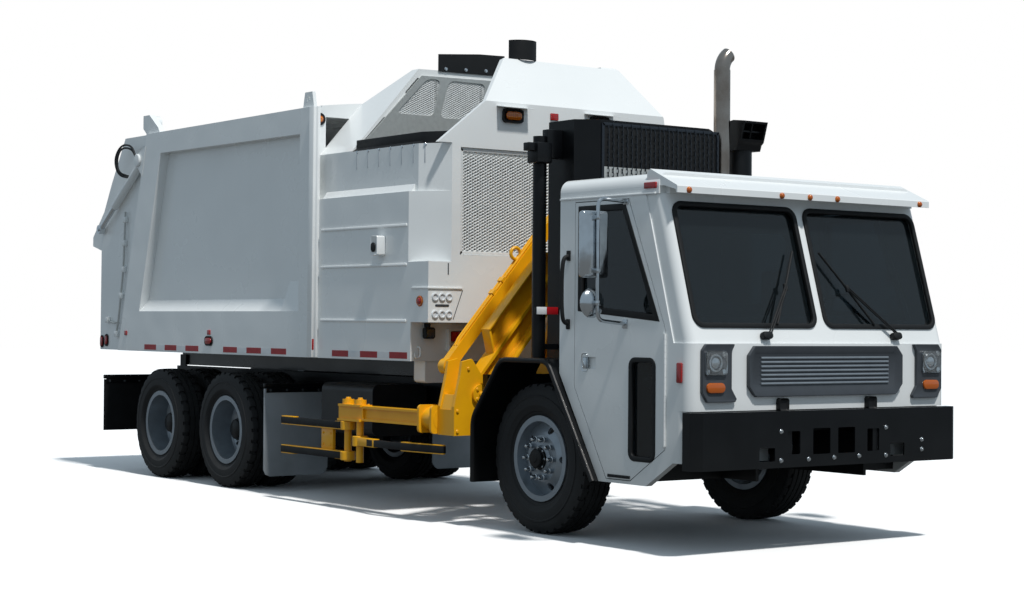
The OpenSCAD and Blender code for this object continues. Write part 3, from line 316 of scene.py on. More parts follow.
# Polished stainless sheet: soft mirror with fine rolling marks.
STAINLESS = Finish("polished_stainless_sheet", "#c9ced2", "#a9aeb2", 0.16, metallic=1.0, patch_mm=60, grain_depth=0.015,
                   slot="mirror_steel")
# Galvanised expanded steel: pale grey spangle.
GALVANISED = Finish("galvanised_expanded_steel", "#c3c6c4", "#9fa3a2", 0.45, metallic=0.6, patch_mm=40, grain_mm=4,
                    grain_depth=0.08, slot="guard_steel")
# Grey-white polymer sheet of the front mud flaps: waxy, slightly scuffed.
SHEET = Finish("grey_polymer_sheet", "#aeb5bb", "#8f979e", 0.5, patch_mm=220, grain_mm=6, grain_depth=0.05,
               dust="#6f6d68", dust_top=0.9, slot="flap")
# Amber acrylic lens over light diodes: a dotted glow under a glossy skin.
AMBER = Finish("amber_acrylic_lens", "#f09a18", "#b3560a", 0.16, coat=0.6, patch_mm=30, weave=Weave.DOTS, weave_mm=22,
               grain_depth=0.02, slot="lamp")
# Red acrylic lens: deep red with lighter diodes.
RED = Finish("red_acrylic_lens", "#d6231c", "#8d0d10", 0.16, coat=0.6, patch_mm=30, weave=Weave.DOTS, weave_mm=18,
             grain_depth=0.02, slot="lamp")
# Red retroreflective tape: small sealed cells under film.
TAPE_RED = Finish("red_reflective_tape", "#a3141c", "#7c0d14", 0.35, patch_mm=60, weave=Weave.CELLS, weave_mm=7,
                  grain_depth=0.03, slot="lamp")
# White retroreflective tape: small sealed cells under film.
TAPE_WHITE = Finish("white_reflective_tape", "#dfe3e6", "#c3c9ce", 0.35, patch_mm=60, weave=Weave.CELLS, weave_mm=7,
                    grain_depth=0.03, slot="lamp")
# Clear polycarbonate lamp cover.
CLEAR = Finish("clear_polycarbonate", "#f2f5f6", "#e8edf0", 0.04, patch_mm=60, clear=0.95, ior=1.58, gloss_spread=0.02,
               grain_depth=0.0, slot="lamp")
# Woven seat cloth over foam: dark, dull, with a visible weave drawn at 6 mm so that it shows.
SEAT = Finish("woven_seat_cloth", "#25282c", "#16181b", 0.85, patch_mm=70, weave=Weave.CELLS, weave_mm=6, grain_mm=2,
              grain_depth=0.25, slot="dark_trim")
# Soft grey dashboard skin of grained vinyl.
DASH = Finish("grained_grey_vinyl", "#70767b", "#5f656a", 0.6, patch_mm=130, grain_mm=3, grain_depth=0.12,
              slot="dark_trim")
# Hydraulic hose: black wrapped rubber, softly ribbed by its wrapping cloth.
HOSE = Finish("wrapped_hydraulic_hose", "#121315", "#232528", 0.55, patch_mm=40, grain_mm=2.5, grain_depth=0.3)

SLOT_FINISH: dict[str, Finish] = {
    "white_paint": WHITE,
    "chassis_black": BLACK,
    "engine_grey": MACHINE,
    "glass": GLASS,
    "dark_trim": TRIM,
    "lamp": CLEAR,
    "chrome": CHROME,
    "flap": RUBBER,
    "mirror_steel": STAINLESS,
    "guard_steel": GALVANISED,
    "tyre": TYRE,
    "wheel_steel": SILVER,
    "arm_yellow": YELLOW,
}
NODE_SLOT: dict[str, str] = {
    **dict.fromkeys(
        "cab_front cab_sides cab_back cab_roof door_right door_left load_body hopper hopper_hood lifting_eyes tailgate"
        " gate_barrels".split(),
        "white_paint",
    ),
    **dict.fromkeys(
        "frame axles front_springs rear_suspension radiator bumper cab_floor fenders air_intake knuckle_right"
        " knuckle_left hoist_barrel".split(),
        "chassis_black",
    ),
    **dict.fromkeys("engine drive_shafts side_tanks".split(), "engine_grey"),
    **dict.fromkeys("cab_glass door_glass_right door_glass_left".split(), "glass"),
    **dict.fromkeys("interior front_trim".split(), "dark_trim"),
    "front_lamps": "lamp",
    **dict.fromkeys("exhaust gate_rods hoist_rod".split(), "chrome"),
    **dict.fromkeys("mudflaps hopper_flaps".split(), "flap"),
    **dict.fromkeys("mirror_right mirror_left".split(), "mirror_steel"),
    "hopper_guard": "guard_steel",
    **dict.fromkeys(
        "front_tyre_right front_tyre_left drive_tyres_1_right drive_tyres_1_left drive_tyres_2_right"
        " drive_tyres_2_left".split(),
        "tyre",
    ),
    **dict.fromkeys(
        "front_disc_right front_disc_left drive_discs_1_right drive_discs_1_left drive_discs_2_right"
        " drive_discs_2_left".split(),
        "wheel_steel",
    ),
    **dict.fromkeys(
        "arm_carriage lift_arm level_link arm_bracket grip_beam finger_rear finger_front".split(), "arm_yellow"
    ),
}
NODE_FINISH: dict[str, Finish] = {"exhaust": STACK, "load_body": BODY_WHITE, "side_tanks": TANK}


class Side(Enum):
    """The truck's two sides, with the sign of y."""

    RIGHT = -1
    LEFT = 1

    @property
    def tag(self) -> str:
        """The side's word in the names of pieces."""
        return self.name.lower()


def plane(origin: Spot, u: Spot, v: Spot) -> Matrix:
    """Gives the frame of a working plane.

    Args:
        origin: Where the plane's zero is.
        u: The first direction in the plane.
        v: The second direction in the plane.

    Returns:
        A matrix whose third axis is the plane's normal.
    """
    a, b = Vector(u).normalized(), Vector(v).normalized()
    n = a.cross(b)
    return Matrix(((a.x, b.x, n.x, origin[0]), (a.y, b.y, n.y, origin[1]), (a.z, b.z, n.z, origin[2]), (0, 0, 0, 1)))


def flank(y: float) -> Matrix:
    """Working plane on the right flank at y: u forward, v up, normal outward."""
    return plane((0, y, 0), (1, 0, 0), (0, 0, 1))


def far_flank(y: float) -> Matrix:
    """Working plane on the left flank at y: u backward, v up, normal outward."""
    return plane((0, y, 0), (-1, 0, 0), (0, 0, 1))


def nose(x: float) -> Matrix:
    """Working plane across the truck at x: u to the left, v up, normal forward."""
    return plane((x, 0, 0), (0, 1, 0), (0, 0, 1))


def stern(x: float) -> Matrix:
    """Working plane across the truck at x: u to the right, v up, normal backward."""
    return plane((x, 0, 0), (0, -1, 0), (0, 0, 1))


def deck(z: float) -> Matrix:
    """Level working plane at z: u forward, v to the left, normal up."""
    return plane((0, 0, z), (1, 0, 0), (0, 1, 0))


def rounded(u0: float, v0: float, u1: float, v1: float, r: float, steps: int = 5) -> list[Point]:
    """Outline of a rectangle with round corners.

    Args:
        u0: Low first coordinate.
        v0: Low second coordinate.
        u1: High first coordinate.
        v1: High second coordinate.
        r: Corner radius.
        steps: Segments in each corner.

    Returns:
        The outline's points, anticlockwise.
    """
    out: list[Point] = []
    for k, (cu, cv) in enumerate(((u1 - r, v1 - r), (u0 + r, v1 - r), (u0 + r, v0 + r), (u1 - r, v0 + r))):
        for i in range(steps + 1):
            a = (k + i / steps) * math.pi / 2
            out.append((cu + r * math.cos(a), cv + r * math.sin(a)))
    return out


def pick(obj: Piece) -> None:
    """Makes one object the active one, and the only one that is selected.

    Args:
        obj: The object.
    """
    bpy.ops.object.select_all(action="DESELECT")
    obj.select_set(True)
    bpy.context.view_layer.objects.active = obj


def edit(obj: Piece) -> None:
    """Opens one object in edit mode with all of its mesh selected.

    Args:
        obj: The object.
    """
    pick(obj)
    bpy.ops.object.mode_set(mode="EDIT")
    bpy.ops.mesh.select_all(action="SELECT")


def close() -> None:
    """Merges doubles, points the normals outward and leaves edit mode."""
    bpy.ops.mesh.select_all(action="SELECT")
    bpy.ops.mesh.remove_doubles(threshold=2e-5)
    bpy.ops.mesh.delete_loose(use_verts=True, use_edges=True, use_faces=False)
    bpy.ops.mesh.select_all(action="SELECT")
    bpy.ops.mesh.normals_make_consistent(inside=False)
    bpy.ops.object.mode_set(mode="OBJECT")


def soften(obj: Piece, width: float, segments: int = 2, angle: float = 0.6) -> Piece:
    """Rounds an object's edges with an applied bevel and shades it.

    Args:
        obj: The object.
        width: Bevel width, or 0 for none.
        segments: Steps in each bevel.
        angle: Edges sharper than this are rounded and shaded sharp.

    Returns:
        The same object.
    """
    pick(obj)
    if width:
        bevel = obj.modifiers.new("edge", "BEVEL")
        bevel.width, bevel.segments, bevel.limit_method, bevel.angle_limit = width, segments, "ANGLE", angle
        bevel.harden_normals = False
        bpy.ops.object.modifier_apply(modifier="edge")
    bpy.ops.object.shade_smooth_by_angle(angle=angle)
    return obj


def outline(name: str, points: Sequence[Vector], fill: bool) -> Piece:
    """Lays a circle's vertices on given points.

    Args:
        name: Object name.
        points: Places in the row frame.
        fill: True for a face, False for the edge alone.

    Returns:
        The object, in object mode.
    """
    bpy.ops.object.select_all(action="DESELECT")
    bpy.ops.mesh.primitive_circle_add(vertices=len(points), fill_type="NGON" if fill else "NOTHING")
    obj = bpy.context.object
    obj.name = obj.data.name = name
    for vertex, point in zip(obj.data.vertices, points):
        vertex.co = point
    return obj


def plate(
    name: str,
    points: Sequence[Point],
    at: Matrix,
    height: float,
    bevel: float = 0.0,
    rim: float = 0.0,
    dish: Point = (0.0, 0.0),
) -> Piece:
    """Raises a plate from an outline on a working plane.

    Args:
        name: Object name.
        points: The outline on the plane.
        at: The working plane.
        height: How far it is extruded along the normal.
        bevel: Edge rounding.
        rim: If set, only a border this wide is kept.
        dish: Inset width and depth of a sunk middle on the outer face.

    Returns:
        The plate.
    """
    obj = outline(name, [at @ Vector((u, v, 0.0)) for u, v in points], True)
    normal = (at.to_3x3() @ Vector((0, 0, 1))).normalized()
    edit(obj)
    if rim:
        bpy.ops.mesh.inset(thickness=rim, use_even_offset=True)
        bpy.ops.mesh.delete(type="FACE")
        bpy.ops.mesh.select_all(action="SELECT")
    bpy.ops.mesh.extrude_region_move(TRANSFORM_OT_translate={"value": normal * height})
    if dish[0]:
        bpy.ops.mesh.inset(thickness=dish[0], depth=0.0)
        bpy.ops.transform.translate(value=normal * -dish[1])
    close()
    return soften(obj, bevel)


def lathe(name: str, profile: Sequence[Point], at: Matrix, steps: int = 32, angle: float = 0.6) -> Piece:
    """Spins a closed profile round the normal of a plane.

    Args:
        name: Object name.
        profile: Radius and height pairs.
        at: The plane whose origin is the centre.
        steps: Segments of the turn.
        angle: Edges sharper than this are shaded sharp.

    Returns:
        The turned object.
    """
    obj = outline(name, [at @ Vector((r, 0.0, h)) for r, h in profile], False)
    edit(obj)
    axis = (at.to_3x3() @ Vector((0, 0, 1))).normalized()
    bpy.ops.mesh.spin(steps=steps, angle=TURN, center=at.translation, axis=axis)
    close()
    return soften(obj, 0.0, angle=angle)


def block(name: str, low: Spot, high: Spot, bevel: float, segments: int = 2) -> Piece:
    """Makes a box between two corners with rounded edges.

    Args:
        name: Object name.
        low: Low corner.
        high: High corner.
        bevel: Edge rounding.
        segments: Steps in each rounding.

    Returns:
        The block.
    """
    bpy.ops.object.select_all(action="DESELECT")
    middle = [(a + b) / 2 for a, b in zip(low, high)]
    bpy.ops.mesh.primitive_cube_add(size=1.0, location=middle, scale=[b - a for a, b in zip(low, high)])
    obj = bpy.context.object
    obj.name = obj.data.name = name
    bpy.ops.object.transform_apply(location=True, rotation=True, scale=True)
    return soften(obj, bevel, segments)


def bent(points: Sequence[Spot], radius: float, steps: int = 6) -> list[Vector]:
    """Rounds the corners of a path.

    Args:
        points: The path's corners.
        radius: How far from a corner its curve starts.
        steps: Segments in each curve.

    Returns:
        Points along the rounded path.
    """
    way = [Vector(p) for p in points]
    out = [way[0]]
    for a, b, c in zip(way, way[1:], way[2:]):
        start = b + (a - b).normalized() * min(radius, (a - b).length * 0.49)
        end = b + (c - b).normalized() * min(radius, (c - b).length * 0.49)
        for i in range(steps + 1):
            t = i / steps
            out.append(start * (1 - t) ** 2 + b * 2 * t * (1 - t) + end * t**2)
    return [*out, way[-1]]


def tube(name: str, path: Sequence[Vector], radius: float, sides: int = 3) -> Piece:
    """Makes a round tube along a path.

    Args:
        name: Object name.
        path: Points along the middle.
        radius: Tube radius.
        sides: Bevel resolution of the section.

    Returns:
        The tube as a mesh.
    """
    curve = bpy.data.curves.new(name, "CURVE")
    curve.dimensions, curve.bevel_depth, curve.bevel_resolution, curve.use_fill_caps = "3D", radius, sides, True
    spline = curve.splines.new("POLY")
    spline.points.add(len(path) - 1)
    for spot, p in zip(spline.points, path):
        spot.co = (*p, 1.0)
    obj = bpy.data.objects.new(name, curve)
    bpy.context.scene.collection.objects.link(obj)
    pick(obj)
    bpy.ops.object.convert(target="MESH")
    made = bpy.context.object
    edit(made)
    close()
    return soften(made, 0.0)


def join(name: str, parts: Sequence[Piece]) -> Piece:
    """Joins several objects into one piece.

    Args:
        name: Name of the piece.
        parts: What is joined.

    Returns:
        The joined piece.
    """
    bpy.ops.object.select_all(action="DESELECT")
    for part in parts:
        part.select_set(True)
    bpy.context.view_layer.objects.active = parts[0]
    if len(parts) > 1:
        bpy.ops.object.join()
    parts[0].name = parts[0].data.name = name
    return parts[0]


def copied(master: Piece, spot: Matrix) -> Piece:
    """Copies an object with a mesh of its own.

    Args:
        master: What is copied.
        spot: Where the copy goes.

    Returns:
        The copy.
    """
    copy = master.copy()
    copy.data = master.data.copy()
    copy.data.transform(spot)
    bpy.context.scene.collection.objects.link(copy)
    return copy


def scatter(name: str, master: Piece, spots: Sequence[Matrix]) -> Piece:
    """Copies a master piece, modelled at the origin, to many places.

    Args:
        name: Name of the joined piece.
        master: The piece to copy; it is removed.
        spots: Where each copy goes.

    Returns:
        All copies as one piece.
    """
    copies = [copied(master, spot) for spot in spots]
    bpy.data.objects.remove(master)
    return join(name, copies)


def mirrored(name: str, obj: Piece) -> Piece:
    """Copies a piece to the other side of the truck.

    Args:
        name: Name of the copy.
        obj: The right-hand piece.

    Returns:
        The left-hand copy, with its normals outward.
    """
    copy = copied(obj, Matrix.Scale(-1, 4, (0, 1, 0)))
    copy.data.flip_normals()
    copy.name = copy.data.name = name
    return copy


def wear(piece: Piece, finish: Finish, body: str, stands_for: Sequence[str] = ()) -> Piece:
    """Dresses a piece and sets it on its body.

    Args:
        piece: The finished mesh.
        finish: Its material.
        body: The CAD body that it rides on.
        stands_for: CAD nodes that it replaces.

    Returns:
        The piece.
    """
    piece.data.materials.clear()
    piece.data.materials.append(finish.make())
    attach(piece, body)
    if stands_for:
        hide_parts(*stands_for)
    LOG.info("%s rides on %s, %d faces", piece.name, body, len(piece.data.polygons))
    return piece


def bolt_head(radius: float, height: float) -> Piece:
    """Models one flanged hexagon head at the origin, standing along z.

    Args:
        radius: Radius over the corners.
        height: Height of the head.

    Returns:
        The head.
    """
    bpy.ops.object.select_all(action="DESELECT")
    bpy.ops.mesh.primitive_cylinder_add(vertices=12, radius=radius * 1.25, depth=height * 0.3,
                                        location=(0, 0, height * 0.15))
    flange = bpy.context.object
    bpy.ops.object.transform_apply(location=True, rotation=True, scale=True)
    bpy.ops.mesh.primitive_cylinder_add(vertices=6, radius=radius, depth=height * 0.8, location=(0, 0, height * 0.6))
    bpy.ops.object.transform_apply(location=True, rotation=True, scale=True)
    return soften(join("head", [flange, bpy.context.object]), radius * 0.12, 1)


def spots_on(at: Matrix, places: Sequence[Point]) -> list[Matrix]:
    """Gives a matrix for each place on a working plane."""
    return [at @ Matrix.Translation((u, v, 0.0)) for u, v in places]


def ring_spots(at: Matrix, count: int, radius: float, lift: float = 0.0, start: float = 0.0) -> list[Matrix]:
    """Gives a matrix for each of several places on a circle.

    Args:
        at: Plane whose origin is the circle's centre.
        count: How many places there are.
        radius: Radius of the circle.
        lift: Height of the places above the plane.
        start: Where the first place is, in steps.

    Returns:
        The places.
    """
    turns = [Matrix.Rotation(TURN * (i + start) / count, 4, "Z") for i in range(count)]
    return [at @ turn @ Matrix.Translation((radius, 0, lift)) for turn in turns]


def hoop(radius: float, thick: float, lift: float = 0.0, steps: int = 10) -> list[Point]:
    """Gives the round section of a hoop.

    Args:
        radius: Radius of the hoop.
        thick: Radius of its section.
        lift: Height of its middle above the plane.
        steps: Points in the section.

    Returns:
        Radius and height pairs.
    """
    turns = [TURN * i / steps for i in range(steps)]
    return [(radius + thick * math.cos(t), lift + thick * math.sin(t)) for t in turns]


def bevel_corners(obj: Piece, radius: float) -> None:
    """Rounds the long edges of a prism that lies along x.

    Args:
        obj: The prism.
        radius: Corner radius.
    """
    edit(obj)
    bpy.ops.mesh.select_mode(type="EDGE")
    bpy.ops.mesh.select_all(action="DESELECT")
    bpy.ops.object.mode_set(mode="OBJECT")
    for edge in obj.data.edges:
        a, b = (obj.data.vertices[i].co for i in edge.vertices)
        edge.select = abs(a.x - b.x) > 0.01
    bpy.ops.object.mode_set(mode="EDIT")
    bpy.ops.mesh.bevel(offset=radius, segments=5)
    close()


def carve(obj: Piece, cutter: Piece) -> None:
    """Takes one shape out of another and removes it.

    Args:
        obj: What is carved.
        cutter: The shape that is taken out.
    """
    cut = obj.modifiers.new("cut", "BOOLEAN")
    cut.operation, cut.solver, cut.object = "DIFFERENCE", "EXACT", cutter
    pick(obj)
    bpy.ops.object.modifier_apply(modifier="cut")
    bpy.data.objects.remove(cutter)


def trim(obj: Piece, place: Spot, away: Spot) -> None:
    """Cuts off what lies beyond a plane.

    Args:
        obj: What is cut.
        place: A point on the plane.
        away: The direction of the side that goes.
    """
    edit(obj)
    bpy.ops.mesh.bisect(plane_co=place, plane_no=away, use_fill=True, clear_outer=True)
    close()


def edit_selected(obj: Piece) -> None:
    """Opens one object in edit mode with the faces that code has selected.

    Args:
        obj: The object.
    """
    pick(obj)
    chosen = [f.index for f in obj.data.polygons if f.select]
    bpy.ops.object.mode_set(mode="EDIT")
    bpy.ops.mesh.select_mode(type="FACE")
    bpy.ops.mesh.select_all(action="DESELECT")
    bpy.ops.object.mode_set(mode="OBJECT")
    for index in chosen:
        obj.data.polygons[index].select = True
    bpy.ops.object.mode_set(mode="EDIT")


def block_on(at: Matrix, size: Spot, bevel: float) -> Piece:
    """Makes a block centred on a working plane.

    Args:
        at: Where its middle is and how it lies.
        size: Its three sizes.
        bevel: Edge rounding.

    Returns:
        The block.
    """
    obj = block("block", tuple(-s / 2 for s in size), tuple(s / 2 for s in size), bevel)
    obj.data.transform(at)
    return obj


def padded_block(name: str, low: Spot, high: Spot) -> Piece:
    """Makes a crowned cushion whose sides pull in between its corners.

    Args:
        name: Object name.
        low: Low corner.
        high: High corner.

    Returns:
        The cushion.
    """
    obj = block(name, low, high, 0.035, 2)
    edit(obj)
    bpy.ops.mesh.subdivide(number_cuts=3)
    close()
    smooth = obj.modifiers.new("smooth", "SUBSURF")
    smooth.levels = smooth.render_levels = 1
    bpy.ops.object.modifier_apply(modifier="smooth")
    return soften(obj, 0.0, angle=1.2)


def skin(side: Side, y: float) -> Matrix:
    """Working plane on one flank at a distance y from the middle, normal outward."""
    return flank(-y) if side is Side.RIGHT else far_flank(y)


def facing(side: Side, points: Sequence[Point]) -> list[Point]:
    """Turns a right-hand outline for one side, still anticlockwise."""
    return list(points) if side is Side.RIGHT else [(-u, v) for u, v in reversed(points)]


def moved(at: Matrix, u: float, v: float, lift: float = 0.0) -> Matrix:
    """Moves a working plane within itself and along its normal."""
    return at @ Matrix.Translation((u, v, lift))


def pill(name: str, at: Matrix, wide: float, tall: float, height: float, bevel: float, corner: float = 0.98) -> Piece:
    """Raises a plate with round ends, centred on a working plane.

    Args:
        name: Object name.
        at: The working plane.
        wide: Size along its first direction.
        tall: Size along its second direction.
        height: How far it stands.
        bevel: Edge rounding.
        corner: Corner radius as a share of the smaller half size.

    Returns:
        The plate.
    """
    r = min(wide, tall) / 2 * corner
    return plate(name, rounded(-wide / 2, -tall / 2, wide / 2, tall / 2, r), at, height, bevel)


def lattice(name: str, low: Point, high: Point, cell: Point, strand: float, at: Matrix) -> Piece:
    """Makes expanded metal: a diamond net of strands.

    Args:
        name: Object name.
        low: Low corner on the plane.
        high: High corner on the plane.
        cell: Width and height of a diamond.
        strand: Half width of a strand.
        at: The working plane.

    Returns:
        The net.
    """
    columns, rows = (max(2, round((h - s) / c)) for s, h, c in zip(low, high, cell))
    bpy.ops.object.select_all(action="DESELECT")
    bpy.ops.mesh.primitive_grid_add(x_subdivisions=columns, y_subdivisions=rows, size=1.0)
    net = bpy.context.object
    edit(net)
    bpy.ops.mesh.poke()
    bpy.ops.mesh.select_mode(type="EDGE")
    bpy.ops.mesh.select_all(action="DESELECT")
    bpy.ops.object.mode_set(mode="OBJECT")
    corners = (columns + 1) * (rows + 1)
    for edge in net.data.edges:
        edge.select = max(edge.vertices) < corners
    bpy.ops.object.mode_set(mode="EDIT")
    bpy.ops.mesh.delete(type="EDGE_FACE")
    bpy.ops.object.mode_set(mode="OBJECT")
    for v in net.data.vertices:
        v.co = at @ Vector([(s + h) / 2 + c * (h - s) for s, h, c in zip(low, high, v.co)] + [0.0])
    bpy.ops.object.convert(target="CURVE")
    wire = bpy.context.object
    wire.data.bevel_depth, wire.data.bevel_resolution = strand, 0
    bpy.ops.object.convert(target="MESH")
    bpy.context.object.name = name
    return bpy.context.object


def hose(name: str, corners: Sequence[Spot], turn: float, diameter: float, finish: Finish, body: str) -> Piece:
    """Args:
        name: Name of the piece.
        corners: The route's corners, from its exit to where it goes back in.
        turn: How far from a corner its curve starts.
        diameter: Outer diameter.
        finish: Its material.
        body: The body that it rides on.

    Returns:
        The hose.
    """
    path = bent(corners, turn, 9)
    piece = wear(tube(name, path, diameter / 2), finish, body)
    return piece


@dataclass
class Tyre:
    """A road tyre with ribs, shoulder blocks and sidewall rings."""

    radius: float
    width: float
    blocks: int
    ribs: int = 5
    groove: float = 0.011
    depth: float = 0.013
    bead: float = 0.288

    def profile(self) -> list[Point]:
        """Gives the section of the tyre, from bead to bead.

        Returns:
            Radius and axial place pairs, closed through the bead.
        """
        r, h = self.radius, self.width / 2
        wall = [(self.bead, h - 0.044), (0.312, h - 0.040), (0.322, h - 0.031), (0.330, h - 0.029), (0.338, h - 0.018),
                (r - 0.160, h - 0.004), (r - 0.156, h - 0.0015), (r - 0.130, h - 0.0005), (r - 0.100, h - 0.003),
                (r - 0.096, h), (r - 0.088, h), (r - 0.084, h - 0.006), (r - 0.060, h - 0.008), (r - 0.040, h - 0.014),
                (r - 0.022, h - 0.022), (r - 0.006, h - 0.028)]
        top: list[Point] = []
        span = 2 * (h - 0.034)
        pitch = span / self.ribs
        for i in range(self.ribs):
            a, b = span / 2 - i * pitch, span / 2 - (i + 1) * pitch
            left = a - (self.groove / 2 if i else 0)
            right = b + (self.groove / 2 if i < self.ribs - 1 else 0)
            crown = [r - 0.0035 * (2 * abs(c) / span) ** 2 for c in (left, right)]
            top += [(crown[0], left), (crown[1], right)]
            if i < self.ribs - 1:
                top += [(r - self.depth, right - 0.002), (r - self.depth, b - self.groove / 2 + 0.002)]
        return [*wall, *top, *[(a, -b) for a, b in reversed(wall)]]

    def build(self, name: str, at: Matrix) -> Piece:
        """Spins the section and sinks the notches of the shoulder ribs.

        Args:
            name: Object name.
            at: Plane whose origin is the wheel's centre and normal its axle.

        Returns:
            The tyre.
        """
        obj = lathe(name, self.profile(), at, steps=self.blocks * 3, angle=0.5)
        back = at.inverted()
        edge = self.width / 2 - 0.034
        pitch = 2 * edge / self.ribs
        for face in obj.data.polygons:
            p = back @ face.center
            turn = int((math.atan2(p.y, p.x) % TURN) / TURN * self.blocks * 3)
            outer = abs(p.z) > edge - pitch and math.hypot(p.x, p.y) > self.radius - 0.024
            face.select = outer and turn % 3 == 0 and abs(p.z) < self.width / 2 - 0.018
        edit_selected(obj)
        bpy.ops.mesh.extrude_region_shrink_fatten(TRANSFORM_OT_shrink_fatten={"value": -self.depth * 0.8})
        close()
        return soften(obj, 0.0, angle=0.5)


@dataclass
class Wheels:
    """Tyres, hub covers and nuts of the six wheel ends."""

    front_x: float = 2.875
    drive_x: tuple[float, float] = (-1.680, -3.000)
    front_y: float = 0.975
    drive_y: tuple[float, float] = (0.725, 1.065)
    front_r: float = 0.533
    drive_r: float = 0.515
    front_w: float = 0.300
    drive_w: float = 0.276
    nut_count: int = 10

    def build(self) -> None:
        """Builds and dresses every wheel."""
        axle = plane((0, 0, 0), (1, 0, 0), (0, 0, 1))
        steer = Tyre(self.front_r, self.front_w, 36).build("steer", axle)
        drive = Tyre(self.drive_r, self.drive_w, 32, ribs=4, groove=0.014, depth=0.016).build("drive", axle)
        for side in Side:
            self.front(steer, side)
            for index, x in enumerate(self.drive_x, 1):
                self.twin(drive, side, index, x)
        for master in (steer, drive):
            bpy.data.objects.remove(master)

    def front(self, master: Piece, side: Side) -> None:
        """Sets a steered wheel's tyre, hub cover and nut caps on one side.

        Args:
            master: The tyre at the origin.
            side: Which side of the truck.
        """
        tag = side.tag
        body = f"wheel_front_{tag}"
        centre = (self.front_x, side.value * self.front_y, self.front_r)
        tread = copied(master, Matrix.Translation(centre))
        tread.name = f"tread_front_{tag}"
        wear(tread, TYRE, body, stands_for=[f"front_tyre_{tag}"])
        face = plane(centre, (-side.value, 0, 0), (0, 0, 1))
        section = [(0, 0.118), (0.078, 0.118), (0.082, 0.126), (0.080, 0.136), (0.070, 0.140), (0.068, 0.158),
                   (0.060, 0.166), (0.030, 0.168), (0.026, 0.172), (0, 0.173)]
        wear(lathe(f"hub_front_{tag}", section, face), BLACK, body)
        heads = scatter(f"hub_bolts_front_{tag}", bolt_head(0.007, 0.008), ring_spots(face, 8, 0.075, 0.136))
        wear(heads, CHROME, body)
        self.nuts(f"nuts_front_{tag}", body, face, 0.140, 0.120)

    def twin(self, master: Piece, side: Side, index: int, x: float) -> None:
        """Sets a drive wheel's two tyres, hub cover and nut caps.

        Args:
            master: The tyre at the origin.
            side: Which side of the truck.
            index: Number of the drive axle.
            x: Place of the axle.
        """
        tag = f"{index}_{side.tag}"
        body = f"wheel_{tag}"
        treads = [copied(master, Matrix.Translation((x, side.value * y, self.drive_r))) for y in self.drive_y]
        wear(join(f"treads_drive_{tag}", treads), TYRE, body, stands_for=[f"drive_tyres_{tag}"])
        centre = (x, side.value * sum(self.drive_y) / 2, self.drive_r)
        face = plane(centre, (-side.value, 0, 0), (0, 0, 1))
        section = [(0, 0.140), (0.098, 0.140), (0.100, 0.156), (0.088, 0.160), (0.086, 0.186), (0.072, 0.196),
                   (0, 0.198)]
        wear(lathe(f"hub_drive_{tag}", section, face), BLACK, body)
        heads = scatter(f"hub_bolts_drive_{tag}", bolt_head(0.008, 0.009), ring_spots(face, 12, 0.093, 0.157))
        wear(heads, MACHINE, body)
        self.nuts(f"nuts_drive_{tag}", body, face, 0.150, 0.052)

    def nuts(self, name: str, body: str, face: Matrix, ring: float, height: float) -> None:
        """Caps the wheel nuts.

        Args:
            name: Name of the piece.
            body: The wheel's body.
            face: Plane of the wheel, normal outward.
            ring: Radius of the nut circle.
            height: Where the caps start along the axle.
        """
        section = [(0, 0.0), (0.021, 0.0), (0.021, 0.006), (0.0175, 0.008), (0.0165, 0.030), (0.010, 0.042), (0, 0.044)]
        cap = lathe("cap", section, Matrix.Identity(4), steps=12)
        wear(scatter(name, cap, ring_spots(face, self.nut_count, ring, height)), CHROME, body)


